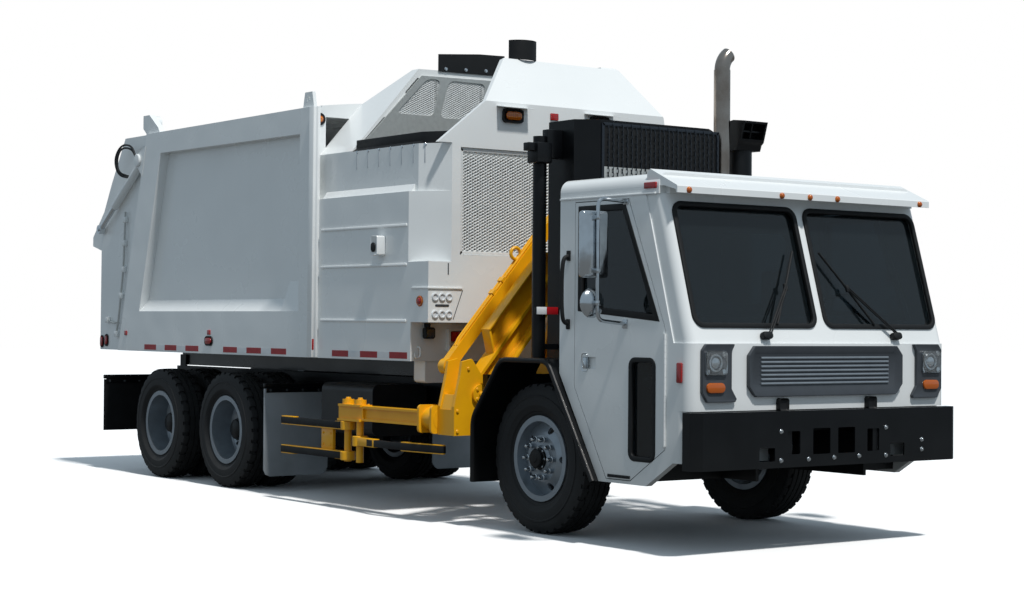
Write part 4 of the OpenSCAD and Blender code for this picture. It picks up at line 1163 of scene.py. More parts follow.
@dataclass
class Cab:
    """The cab's glazing rubbers, lamps, grille, seats and small fittings."""

    nose_x: float = 4.595
    belt_z: float = 1.370
    slope: float = math.radians(16.4)
    half: float = 1.200
    lamp_y: float = 1.012
    roof_z: float = 2.340
    bumper_x: float = 4.680
    seat_x: float = 3.410
    handle_x: float = 3.330
    screen_x: float = 2.9205
    hinge: Point = (4.350, 1.207)
    mirror_x: float = 3.910
    mirror_y: float = -1.450
    steering: Spot = (3.955, 0.700, 1.560)
    steering_tilt: float = math.radians(41)

    def wind(self, lift: float) -> Matrix:
        """Plane of the leaning windshield, lifted along its normal."""
        s, c = math.sin(self.slope), math.cos(self.slope)
        return plane((self.nose_x + lift * c, 0, self.belt_z + lift * s), (0, 1, 0), (-s, 0, c))

    def build(self) -> None:
        """Builds and dresses the cab."""
        self.glazing()
        self.grille()
        self.lamps()
        self.wipers()
        self.bumper()
        self.seats()
        self.fittings()
        self.radiator()
        for side in Side:
            self.door(side)

    def glazing(self) -> None:
        """Rubbers round the windshield panes."""
        rings = []
        for s in (-1, 1):
            pts = [(s * u, v) for u, v in rounded(0.031, 0.106, 1.142, 0.964, 0.084, 6)]
            rings.append(plate("ring", pts if s > 0 else pts[::-1], self.wind(-0.024), 0.027, 0.006, rim=0.034))
        wear(join("windshield_rubbers", rings), RUBBER, "chassis")

    def grille(self) -> None:
        """Centre panel with a deep border and plain ribs, and the two hoods above the bumper."""
        octagon = [(-0.668, 1.030), (0.668, 1.030), (0.722, 1.094), (0.722, 1.292), (0.668, 1.354), (-0.668, 1.354),
                   (-0.722, 1.292), (-0.722, 1.094)]
        rim = plate("grille_border", octagon, nose(self.nose_x - 0.002), 0.034, 0.005, dish=(0.046, 0.026))
        ledge = block("ledge", (self.nose_x - 0.002, -0.655, 1.022), (self.nose_x + 0.030, 0.655, 1.034), 0.003)
        hoods = []
        for y in (-0.415, 0.415):
            hood = plate("hood", rounded(y - 0.042, 0.925, y + 0.042, 1.012, 0.018), nose(self.nose_x - 0.002), 0.046,
                         0.008, dish=(0.012, 0.020))
            hoods.append(hood)
        wear(join("grille_panel", [rim, ledge]), TRIM, "chassis", stands_for=["front_trim"])
        wear(join("tow_hoods", hoods), RUBBER, "chassis")
        bars = [block("rib", (self.nose_x + 0.002, -0.600, z - 0.007), (self.nose_x + 0.014, 0.600, z + 0.007), 0.004)
                for z in (1.108, 1.136, 1.164, 1.192, 1.220, 1.248, 1.276)]
        wear(join("grille_ribs", bars), SILVER, "chassis")

    def lamps(self) -> None:
        """Bezels, headlamps, turn lamps and the visor's markers."""
        bezels, buckets, covers, turns, lenses = [], [], [], [], []
        for s in (-1, 1):
            y = s * self.lamp_y
            shape = [(-0.112, 1.058), (-0.066, 0.992), (0.172, 0.992), (0.186, 1.012), (0.140, 1.078), (0.140, 1.318),
                     (0.168, 1.366), (-0.080, 1.366), (-0.112, 1.326)]
            pts = [(y - s * u, v) for u, v in shape]
            bezels.append(plate("bezel", pts if s < 0 else pts[::-1], nose(self.nose_x - 0.002), 0.030, 0.006,
                                dish=(0.014, 0.006)))
            buckets.append(plate("bucket", rounded(y - 0.093, 1.167, y + 0.093, 1.323, 0.022),
                                 nose(self.nose_x + 0.010), 0.022, 0.003, dish=(0.014, 0.016)))
            at = nose(self.nose_x + 0.016) @ Matrix.Translation((y, 1.245, 0))
            lenses.append(lathe("eye",
                                [(0, 0.0), (0.056, 0.0), (0.054, 0.010), (0.044, 0.012), (0.040, 0.004), (0.034, 0.004),
                                 (0.026, 0.013), (0.012, 0.018), (0, 0.019)], at))
            petal = bolt_head(0.017, 0.012)
            corners = [(u, v) for u in (-0.066, 0.066) for v in (-0.052, 0.052)]
            buckets.append(scatter("petals", petal, spots_on(at, corners)))
            covers.append(plate("cover", rounded(y - 0.090, 1.170, y + 0.090, 1.320, 0.022), nose(self.nose_x + 0.036),
                                0.004, 0.001))
            turns.append(plate("turn", rounded(y - 0.078, 1.052, y + 0.078, 1.118, 0.032), nose(self.nose_x + 0.014),
                               0.022, 0.007))
        wear(join("lamp_bezels", bezels), TRIM, "chassis")
        wear(join("headlamp_reflectors", buckets), CHROME, "chassis", ["front_lamps"])
        wear(join("headlamp_eyes", lenses), CHROME, "chassis")
        wear(join("headlamp_covers", covers), CLEAR, "chassis")
        lip = self.nose_x - (self.roof_z - self.belt_z) * math.tan(self.slope) + 0.130
        marker = lathe("marker",
                       [(0, -0.001), (0.021, -0.001), (0.021, 0.006), (0.016, 0.014), (0.008, 0.018), (0, 0.019)],
                       Matrix.Identity(4), steps=16)
        row = [(y, self.roof_z + 0.018) for y in (-1.09, -0.263, 0.0, 0.263, 1.09)]
        turns.append(scatter("markers", marker, spots_on(nose(lip), row)))
        wear(join("amber_lamps", turns), AMBER, "chassis")

    def wipers(self) -> None:
        """Two wipers with twin arms and blades."""
        parts = []
        for pivot, foot, tip in ((-0.530, -0.420, -0.150), (0.700, 0.500, 0.100)):
            at = self.wind(0.0)
            mid = (foot + tip) / 2
            parts.append(plate("boss", rounded(pivot - 0.055, 0.025, pivot + 0.030, 0.075, 0.02), self.wind(-0.012),
                               0.050, 0.012))
            for gap in (-0.010, 0.010):
                parts.append(tube("arm",
                                  [at @ Vector((pivot + gap, 0.05, 0.030)), at @ Vector((mid + gap, 0.385, 0.024))],
                                  0.0055))
            parts.append(tube("blade",
                              [at @ Vector((foot, 0.13, 0.010)), at @ Vector((mid, 0.385, 0.014)),
                               at @ Vector((tip, 0.64, 0.010))], 0.0085))
            parts.append(block_on(at @ Matrix.Translation((mid, 0.385, 0.017)), (0.030, 0.050, 0.020), 0.005))
        wear(join("wipers", parts), RUBBER, "chassis")

    def bumper(self) -> None:
        """Bright bolts of the bumper and the tow shackle in one of its openings."""
        places = [(-0.488, 0.798), (-0.488, 0.608), (-0.237, 0.610), (0.0, 0.613), (0.238, 0.616), (0.498, 0.801),
                  (0.498, 0.612), (0.856, 0.709), (0.856, 0.642)]
        wear(scatter("bumper_bolts", bolt_head(0.013, 0.010), spots_on(nose(self.bumper_x - 0.001), places)), CHROME,
             "chassis")
        hook = lathe("shackle", [(0.030, -0.010), (0.050, -0.010), (0.050, 0.010), (0.030, 0.010)],
                     plane((self.bumper_x - 0.060, -0.373, 0.745), (0, 1, 0), (0, 0, 1)), 20)
        stem = block("stem", (self.bumper_x - 0.080, -0.395, 0.650), (self.bumper_x - 0.035, -0.350, 0.712), 0.008)
        wear(join("tow_shackle", [hook, stem]), STAINLESS, "chassis")

    def seats(self) -> None:
        """Padded seats, dashboard and steering wheel that show through the glass."""
        x, pads = self.seat_x, []
        for side in Side:
            tag = side.tag
            low, high = sorted((side.value * 0.565, side.value * 0.995))
            pads.append(padded_block(f"seat_{tag}", (x + 0.02, low, 1.160), (x + 0.480, high, 1.300)))
            pads.append(padded_block(f"backrest_{tag}", (x - 0.055, low, 1.305), (x + 0.060, high, 1.895)))
        for pad in pads:
            wear(pad, SEAT, "chassis", stands_for=["interior"])
        section = [(4.080, 1.160), (4.425, 1.160), (4.425, 1.420), (4.390, 1.455), (4.160, 1.560), (4.100, 1.530),
                   (4.080, 1.420)]
        board = plate("dashboard", [(-a, b) for a, b in section][::-1], far_flank(-1.100), 2.200, 0.02)
        wear(board, DASH, "chassis")
        self.wheel()

    def wheel(self) -> None:
        """Steering wheel and column on the left."""
        a = self.steering_tilt
        at = plane(self.steering, (math.cos(a), 0, math.sin(a)), (0, 1, 0))
        rim = lathe("rim", hoop(0.215, 0.014, 0.015), at, 40)
        hub = lathe("hub", [(0, -0.02), (0.055, -0.02), (0.060, 0.0), (0.050, 0.020), (0, 0.026)], at, 24)
        spokes = []
        for t in (math.pi / 2, math.pi * 7 / 6, math.pi * 11 / 6):
            ends = [Vector((r * math.cos(t), r * math.sin(t), lift)) for r, lift in ((0.04, 0.006), (0.21, 0.014))]
            spokes.append(tube("spoke", [at @ end for end in ends], 0.011))
        column = tube("column", [Vector(self.steering), Vector((4.100, 0.7, 1.400))], 0.028)
        wear(join("steering_wheel", [rim, hub, *spokes, column]), RUBBER, "chassis")

    def fittings(self) -> None:
        """Grab handles, side markers, roof markers and gutters."""
        for side in Side:
            s, tag = side.value, side.tag
            x, f = self.handle_x, -s
            shape = ((1.195, 1.485), (1.250, 1.50), (1.262, 1.62), (1.262, 1.82), (1.250, 1.94), (1.195, 1.955))
            bar = bent([(x, s * y, z) for y, z in shape], 0.05)
            low, high = sorted((s * 1.198, s * 1.212))
            feet = [block("foot", (3.312, low, z), (3.348, high, z + 0.07), 0.004) for z in (1.450, 1.920)]
            wear(join(f"grab_handle_{tag}", [tube("bar", bar, 0.015), *feet]), RUBBER, "chassis")
            lamp = plate("marker", rounded(f * 4.492 - 0.024, 1.115, f * 4.492 + 0.024, 1.245, 0.010),
                         skin(side, self.half), 0.016, 0.005)
            roof = plate("roof_marker", rounded(f * 4.190 - 0.060, 2.374, f * 4.190 + 0.060, 2.416, 0.008),
                         skin(side, self.half - 0.004), 0.016, 0.005)
            wear(join(f"side_markers_{tag}", [lamp, roof]), RED, "chassis")
            low, high = sorted((s * 1.190, s * 1.211))
            gutter = block(f"gutter_{tag}", (3.232, low, 2.336), (4.240, high, 2.350), 0.004)
            wear(gutter, WHITE, "chassis")

    def radiator(self) -> None:
        """Black backing sheet behind the screen's holes, partly the radiator core's own dark and partly painted shade,
        pressed screen and tank of the radiator, and the head and reflectors of the post beside it.
        """
        x, wide, tall, point = self.screen_x, 0.044, 0.007, 0.021
        shape = [(wide, tall), (0.0, point), (-wide, tall), (-wide, -tall), (0.0, -point), (wide, -tall)]
        cell = plate("cell", shape, nose(0.0), 0.005, rim=0.005)
        spots = [moved(nose(x + 0.003), -0.538 + 2 * wide * k + wide * (row % 2), 2.490 + (tall + point) * row)
                 for row in range(16) for k in range(13 - row % 2)]
        # Black sheet just behind the screen: painted shade seen through the holes, partly the core's own dark colour.
        back = plate("radiator_hole_shade", rounded(-0.588, 2.466, 0.542, 2.946, 0.008), nose(x - 0.001), 0.002)
        wear(back, RUBBER, "chassis")
        border = plate("border", rounded(-0.592, 2.462, 0.546, 2.950, 0.010), nose(x - 0.001), 0.010, 0.002, rim=0.022)
        wear(join("radiator_screen", [scatter("cells", cell, spots), border]), SCREEN, "chassis")
        tank = plate("radiator_tank", rounded(-0.575, 2.475, 0.530, 2.630, 0.008), nose(x), 0.0025, 0.001)
        wear(tank, GALVANISED, "chassis")
        head = [
            block("head", (2.560, -0.995, 2.650), (2.692, -0.862, 2.800), 0.010),
            block("lug", (2.600, -1.060, 2.735), (2.670, -0.990, 2.795), 0.006),
            block("strut", (2.590, -0.880, 2.690), (2.660, -0.745, 2.900), 0.006),
            block("rail", (2.632, -0.972, 1.560), (2.656, -0.745, 1.602), 0.003),
        ]
        wear(join("post_head", head), BLACK, "chassis")
        wear(block("post_reflector_white", (2.655, -0.969, 1.554), (2.664, -0.881, 1.608), 0.002), TAPE_WHITE,
             "chassis")
        wear(block("post_reflector_red", (2.655, -0.880, 1.554), (2.664, -0.777, 1.608), 0.002), TAPE_RED, "chassis")

    def door(self, side: Side) -> None:
        """Window rubbers, latch, hinge and step strip of one door.

        Args:
            side: Which side of the truck.
        """
        tag = side.tag
        body = f"door_{tag}"
        window = facing(side, [(3.432, 1.574), (4.288, 1.506), (3.932, 2.290), (3.432, 2.290)])
        sunk = skin(side, self.half - 0.020)
        pane = plate("pane", window, sunk, 0.024, 0.004, rim=0.042)
        low = plate("low", facing(side, rounded(3.978, 0.588, 4.252, 1.272, 0.060)), sunk, 0.026, 0.006, rim=0.034)
        strip = block("strip", (3.770, 0, 0.470), (4.000, 0.008, 0.490), 0.003)
        strip.data.transform(Matrix.Translation((0, -self.half - 0.008 if side is Side.RIGHT else self.half, 0)))
        wear(join(f"door_rubbers_{tag}", [pane, low, strip]), RUBBER, body)
        cup = plate("cup", facing(side, rounded(3.478, 1.165, 3.548, 1.290, 0.022)), skin(side, self.half - 0.003),
                    0.010, 0.004, dish=(0.010, 0.012))
        paddle = plate("paddle", facing(side, rounded(3.494, 1.185, 3.532, 1.262, 0.012)),
                       skin(side, self.half - 0.010), 0.016, 0.005)
        wear(join(f"door_latch_{tag}", [cup, paddle]), STAINLESS, body)
        knuckles = []
        for i in range(18):
            at = plane((self.hinge[0], side.value * self.hinge[1], 0.704 + i * 0.0405), (1, 0, 0), (0, 1, 0))
            knuckles.append(lathe("k", [(0, 0), (0.0085, 0), (0.0085, 0.036), (0, 0.036)], at, 8))
        wear(join(f"door_hinge_{tag}", knuckles), WHITE, body)
        self.mirror(side, body)

    def mirror(self, side: Side, body: str) -> None:
        """Stainless mirror head, round mirror and tube frame on a door.

        Args:
            side: Which side of the truck.
            body: The door's body.
        """
        x, y = self.mirror_x, self.mirror_y
        head = block("head", (x - 0.030, -1.562, 1.790), (x + 0.028, -1.338, 2.230), 0.024, 4)
        glass = plate("glass", rounded(1.352, 1.806, 1.548, 2.214, 0.02), stern(x - 0.029), 0.003, 0.001)
        bowl = lathe("bowl",
                     [(0, 0.030), (0.040, 0.027), (0.075, 0.015), (0.097, -0.004), (0.100, -0.010), (0.096, -0.016),
                      (0, -0.018)], plane((x - 0.004, y, 1.625), (0, 1, 0), (0, 0, 1)), 36)
        path = bent([(x + 0.030, -1.204, 2.300), (x + 0.045, y, 2.312), (x + 0.045, y, 1.512),
                     (x + 0.030, -1.204, 1.490)], 0.06)
        parts = [head, glass, bowl, tube("frame", path, 0.013)]
        for z in (1.625, 1.835, 2.185):
            parts.append(block("clamp", (x + 0.016, y - 0.020, z - 0.016), (x + 0.062, y + 0.020, z + 0.016), 0.005))
        for low, high in ((1.460, 1.520), (2.280, 2.312)):
            parts.append(block("foot", (x + 0.005, -1.208, low), (x + 0.055, -1.199, high), 0.003))
        piece = join("mirror_set_right", parts)
        if side is Side.LEFT:
            left = mirrored("mirror_set_left", piece)
            bpy.data.objects.remove(piece)
            piece = left
        wear(piece, STAINLESS, body, stands_for=[f"mirror_{side.tag}"])


@dataclass
class Hopper:
    """Guard mesh, slots, lamps and control face of the hopper and its hood."""

    flank_y: float = 1.210
    wall_y: float = 1.150
    front_x: float = 1.610
    step_x: float = 1.370
    hood_x: float = 0.390
    guard_half: float = 0.920
    guard_z: Point = (2.010, 2.840)

    def build(self) -> None:
        """Builds and dresses the hopper."""
        self.guard()
        self.windows()
        for side in Side:
            self.seams(side)
            self.slots(side)
        self.gable()
        self.controls()
        self.underside()

    def guard(self) -> None:
        """Expanded metal in its frame at the hopper's front."""
        x, half = self.front_x - 0.024, self.guard_half
        low, high = self.guard_z
        mesh = lattice("mesh", (-half + 0.01, low + 0.01), (half - 0.01, high - 0.01), (0.048, 0.024), 0.0052, nose(x))
        border = plate("border", rounded(-half + 0.001, low + 0.001, half - 0.001, high - 0.001, 0.01), nose(x - 0.010),
                       0.022, 0.003, rim=0.030)
        wear(join("guard_mesh", [mesh, border]), MESH, "bed", stands_for=["hopper_guard"])

    def windows(self) -> None:
        """Sheet of the hood, grey as painted shade, with expanded metal in its two windows, the sill's rubber and the
        bolts above.
        """
        x = self.hood_x + 0.0005
        sheet = [(-1.095, 2.885), (1.098, 2.885), (1.098, 3.072), (1.074, 3.170), (0.835, 3.570), (-0.487, 3.545),
                 (-1.095, 2.905)]
        screen = plate("hood_screen", sheet, nose(x), 0.016)
        shapes = ([(-0.735, 3.215), (-0.372, 3.215), (-0.296, 3.522), (-0.432, 3.522)],
                  [(-0.302, 3.205), (0.120, 3.215), (0.165, 3.522), (-0.212, 3.522)])
        for shape in shapes:
            cutter = plate("cutter", shape, nose(x - 0.05), 0.2)
            bevel_corners(cutter, 0.05)
            carve(screen, cutter)
        # The grey galvanised finish stands in for the hood's white here: painted shade cast by the gable's overhang.
        wear(soften(screen, 0.002, 1), GALVANISED, "bed")
        panes = [lattice("pane", (low, 3.195), (high, 3.535), (0.036, 0.018), 0.0042, nose(x + 0.0045))
                 for low, high in ((-0.760, -0.280), (-0.320, 0.180))]
        trim(panes[0], (x, -0.760, 3.235), (0.0, -0.710, 0.704))
        wear(join("hood_meshes", panes), MESH, "bed")
        strip = [(0.396, -1.112), (1.362, -1.112), (1.566, -0.992), (1.560, -0.982), (1.359, -1.102), (0.396, -1.102)]
        wear(plate("sill_rubber", strip, deck(2.868), 0.096, 0.002), RUBBER, "bed")
        row = [(-0.243, 3.62), (-0.038, 3.629), (0.17, 3.638)]
        heads = scatter("hood_bolts", bolt_head(0.013, 0.010), spots_on(nose(self.hood_x + 0.012), row))
        wear(heads, CHROME, "bed")

    def seams(self, side: Side) -> None:
        """Folded seams along one flank of the hopper.

        Args:
            side: Which side of the truck.
        """
        strips = []
        for z in (2.240, 1.935, 1.500):
            strips.append(pill("seam", moved(skin(side, self.flank_y), 0.665 * -side.value, z, -0.002), 1.290, 0.022,
                               0.012, 0.005, 0.5))
        wear(join(f"hopper_seams_{side.tag}", strips), WHITE, "bed")

    def slots(self, side: Side) -> None:
        """Short slots with a bolt each in the panel below the sill.

        Args:
            side: Which side of the truck.
        """
        s, tag = side.value, side.tag
        spots = [moved(skin(side, self.wall_y), -s * (0.468 + 0.166 * i), 2.782, SUNK) for i in range(6)]
        spots.append(moved(plane((1.416, s * 1.121, 0), (-0.85 * s, 0.53, 0), (0, 0, 1)), 0, 2.782, SUNK))
        slot = pill("slot", Matrix.Identity(4), 0.009, 0.124, 0.0035, 0.001)
        wear(scatter(f"sill_slots_{tag}", slot, spots), SHEET, "bed")
        heads = [moved(spot, 0, 0.078) for spot in spots]
        wear(scatter(f"sill_bolts_{tag}", bolt_head(0.011, 0.009), heads), CHROME, "bed")

    def gable(self) -> None:
        """Amber lamps under small hoods and a red reflector on the front gable, and the lamp box on the flank."""
        at = nose(self.front_x)
        bezels, lenses, hoods = [], [], []
        for s in (-1, 1):
            spot = moved(at, s * 0.436, 3.112, SUNK)
            bezels.append(plate("bezel", rounded(-0.098, -0.056, 0.098, 0.056, 0.030), spot, 0.030, 0.006,
                                dish=(0.018, 0.012)))
            lenses.append(pill("lens", moved(spot, 0, 0, 0.018), 0.150, 0.066, 0.020, 0.007))
            hoods.append(plate("hood", [(0, 0), (0.095, -0.014), (0.095, -0.020), (0, -0.007)],
                               plane((self.front_x - 0.001, s * 0.436 + 0.150, 3.186), (1, 0, 0), (0, 0, 1)), 0.300,
                               0.001))
        wear(join("gable_bezels", bezels), RUBBER, "bed")
        wear(join("gable_lamps", lenses), AMBER, "bed")
        wear(join("gable_hoods", hoods), WHITE, "bed")
        wear(pill("gable_reflector", moved(at, -0.021, 3.133, SUNK), 0.080, 0.056, 0.010, 0.003, 0.3), RED, "bed")
        box = plate("lamp_box", rounded(0.902, 2.010, 1.002, 2.166, 0.014), flank(-self.flank_y + 0.001), 0.084, 0.010,
                    dish=(0.012, 0.006))
        wear(box, WHITE, "bed")
        wear(pill("lamp_box_lens", moved(flank(-self.flank_y - 0.078), 0.952, 2.075), 0.058, 0.076, 0.012, 0.005),
             RUBBER, "bed")

    def controls(self) -> None:
        """Control face at the right front corner: six round windows, a slot, trim bars and a marker."""
        at = nose(self.front_x)
        cup = lathe("cup", [(0, -0.001), (0, 0.003), (0.019, 0.003), (0.022, 0.011), (0.030, 0.010), (0.032, -0.001)],
                    Matrix.Identity(4), 20)
        cups = scatter("control_windows", cup,
                       [moved(at, y, z) for y in (-1.147, -1.082, -1.018) for z in (1.684, 1.552)])
        wear(cups, TAPE_WHITE, "bed")
        bars = [
            block("side_bar", (1.386, -1.220, 1.745), (1.618, -1.208, 1.759), 0.003),
            block("front_bar", (1.608, -1.218, 1.745), (1.619, -0.898, 1.759), 0.003),
        ]
        wear(join("control_trim", bars), WHITE, "bed")
        lines = [pill("slot", moved(at, -1.082, 1.619, SUNK), 0.128, 0.018, 0.004, 0.001),
                 pill("latch", moved(at, -1.028, 1.900, SUNK), 0.009, 0.090, 0.004, 0.001),
                 plate("edge", [(-0.895, 1.740), (-0.889, 1.740), (-0.976, 1.513), (-0.982, 1.513)],
                       moved(at, 0, 0, SUNK), 0.003)]
        wear(join("control_slots", lines), TRIM, "bed")
        for side in Side:
            tag = side.tag
            spot = moved(skin(side, self.flank_y), -side.value * 1.499, 1.652)
            ring = lathe(f"hopper_marker_rim_{tag}",
                         [(0.026, -0.001), (0.026, 0.010), (0.036, 0.012), (0.042, 0.006), (0.042, -0.001)], spot, 24)
            wear(ring, AMBER, "bed")
            dome = lathe(f"hopper_marker_{tag}",
                         [(0, -0.001), (0.026, -0.001), (0.026, 0.010), (0.018, 0.018), (0, 0.021)], spot, 24)
            wear(dome, RED, "bed")

    def underside(self) -> None:
        """Work lamp, red box, valve box and rope hook in the step under the hopper's front."""
        at = nose(self.step_x)
        body = plate("body", rounded(-1.120, 1.362, -1.030, 1.452, 0.02), moved(at, 0, 0, 0.024), 0.060, 0.012,
                     dish=(0.010, 0.006))
        stem = block("stem", (self.step_x - 0.001, -1.085, 1.440), (self.step_x + 0.060, -1.065, 1.482), 0.004)
        wear(join("work_lamp", [body, stem]), RUBBER, "bed")
        wear(pill("work_lamp_lens", moved(at, -1.075, 1.407, 0.074), 0.068, 0.068, 0.008, 0.003, 0.4), CLEAR, "bed")
        frame_box = plate("red_box_frame", rounded(-0.880, 1.262, -0.720, 1.442, 0.012), moved(at, 0, 0, SUNK), 0.046,
                          0.004, rim=0.016)
        shelf = block("shelf", (self.step_x, -0.872, 1.318), (self.step_x + 0.040, -0.728, 1.326), 0.002)
        wear(join("red_box_frame", [frame_box, shelf]), WHITE, "bed")
        wear(pill("red_box", moved(at, -0.794, 1.380), 0.100, 0.078, 0.036, 0.006, 0.3), RED_ENAMEL, "bed")
        hung = plate("valve_box", rounded(-1.067, 1.020, -0.814, 1.230, 0.030), nose(1.200), 0.160, 0.012,
                     dish=(0.016, 0.004))
        wear(hung, WHITE, "bed")
        bend = bent([(self.step_x - 0.002, -1.138, 1.300), (1.402, -1.138, 1.292), (1.402, -1.138, 1.222),
                     (1.402, -1.185, 1.212), (1.402, -1.190, 1.250)], 0.022)
        wear(tube("rope_hook", bend, 0.0065), WHITE, "bed")


@dataclass
class LoadBody:
    """Corner posts, tapes and markers of the load body."""

    flank_y: float = 1.220
    hopper_y: float = 1.210
    front_x: float = -0.130
    tape_z: Point = (1.207, 1.257)
    body_tapes: tuple[Point, ...] = ((-3.263, -3.009), (-2.827, -2.582), (-2.398, -2.140), (-1.657, -1.398),
                                     (-1.224, -0.963), (-0.787, -0.528))
    hopper_tapes: tuple[Point, ...] = ((0.209, 0.463), (0.642, 0.899), (1.074, 1.326))

    def build(self) -> None:
        """Builds and dresses the load body."""
        self.tapes()
        for side in Side:
            self.posts(side)
            self.markers(side)

    def tapes(self) -> None:
        """Red and white tape along the lower edges of both flanks."""
        red, white = [], []
        low, high = self.tape_z
        for side in Side:
            for y, runs in ((self.flank_y, self.body_tapes), (self.hopper_y, self.hopper_tapes)):
                at = moved(skin(side, y), 0, 0, TAPE_SUNK)
                for a, b in runs:
                    red.append(plate("red", facing(side, [(a, low), (b, low), (b, high), (a, high)]), at, TAPE_HEIGHT))
                for (_, a), (b, _) in zip(runs, runs[1:]):
                    if b - a < 0.3:
                        white.append(plate("white", facing(side, [(a, low), (b, low), (b, high), (a, high)]), at,
                                           0.0020))
        wear(join("tape_red", red), TAPE_RED, "bed")
        wear(join("tape_white", white), TAPE_WHITE, "bed")

    def posts(self, side: Side) -> None:
        """Folded corner post between load body and hopper, with its reflector and marker.

        Args:
            side: Which side of the truck.
        """
        s, tag = side.value, side.tag
        section = [(-0.165, 1.212), (-0.020, 1.206), (-0.020, 1.232), (-0.036, 1.240), (-0.040, 1.262), (-0.112, 1.262),
                   (-0.140, 1.2215), (-0.165, 1.2215)]
        post = plate(f"corner_post_{tag}", [(x, s * y) for x, y in section], deck(1.192), 2.080, 0.004)
        wear(post, WHITE, "bed")
        wear(pill(f"post_reflector_{tag}", moved(nose(-0.041), s * 1.246, 1.300), 0.022, 0.090, 0.006, 0.002, 0.3), RED,
             "bed")
        spot = moved(nose(self.front_x), s * 1.147, 3.179)
        ring = lathe(f"post_lamp_rim_{tag}",
                     [(0.028, -0.001), (0.028, 0.010), (0.046, 0.012), (0.052, 0.004), (0.052, -0.001)], spot, 28)
        wear(ring, RUBBER, "bed")
        lens = lathe(f"post_lamp_{tag}", [(0, -0.001), (0.028, -0.001), (0.028, 0.010), (0.018, 0.018), (0, 0.020)],
                     spot, 28)
        wear(lens, AMBER, "bed")

    def markers(self, side: Side) -> None:
        """Oval marker in a grommet and square reflectors on one flank.

        Args:
            side: Which side of the truck.
        """
        tag, f = side.tag, -side.value
        at = skin(side, self.flank_y)
        grommet = plate(f"marker_grommet_{tag}", rounded(-0.076, -0.044, 0.076, 0.044, 0.043),
                        moved(at, f * -1.932, 1.305, SUNK), 0.014, 0.004, dish=(0.014, 0.008))
        wear(grommet, RUBBER, "bed")
        lens = pill("oval", moved(at, f * -1.932, 1.305, 0.004), 0.118, 0.056, 0.014, 0.005)
        squares = [pill("square", moved(at, f * x, z, SUNK), 0.056, 0.044, 0.009, 0.003, 0.3) for x,
                   z in ((-1.934, 1.382), (-3.679, 1.362))]
        wear(join(f"body_markers_{tag}", [lens, *squares]), RED, "bed")


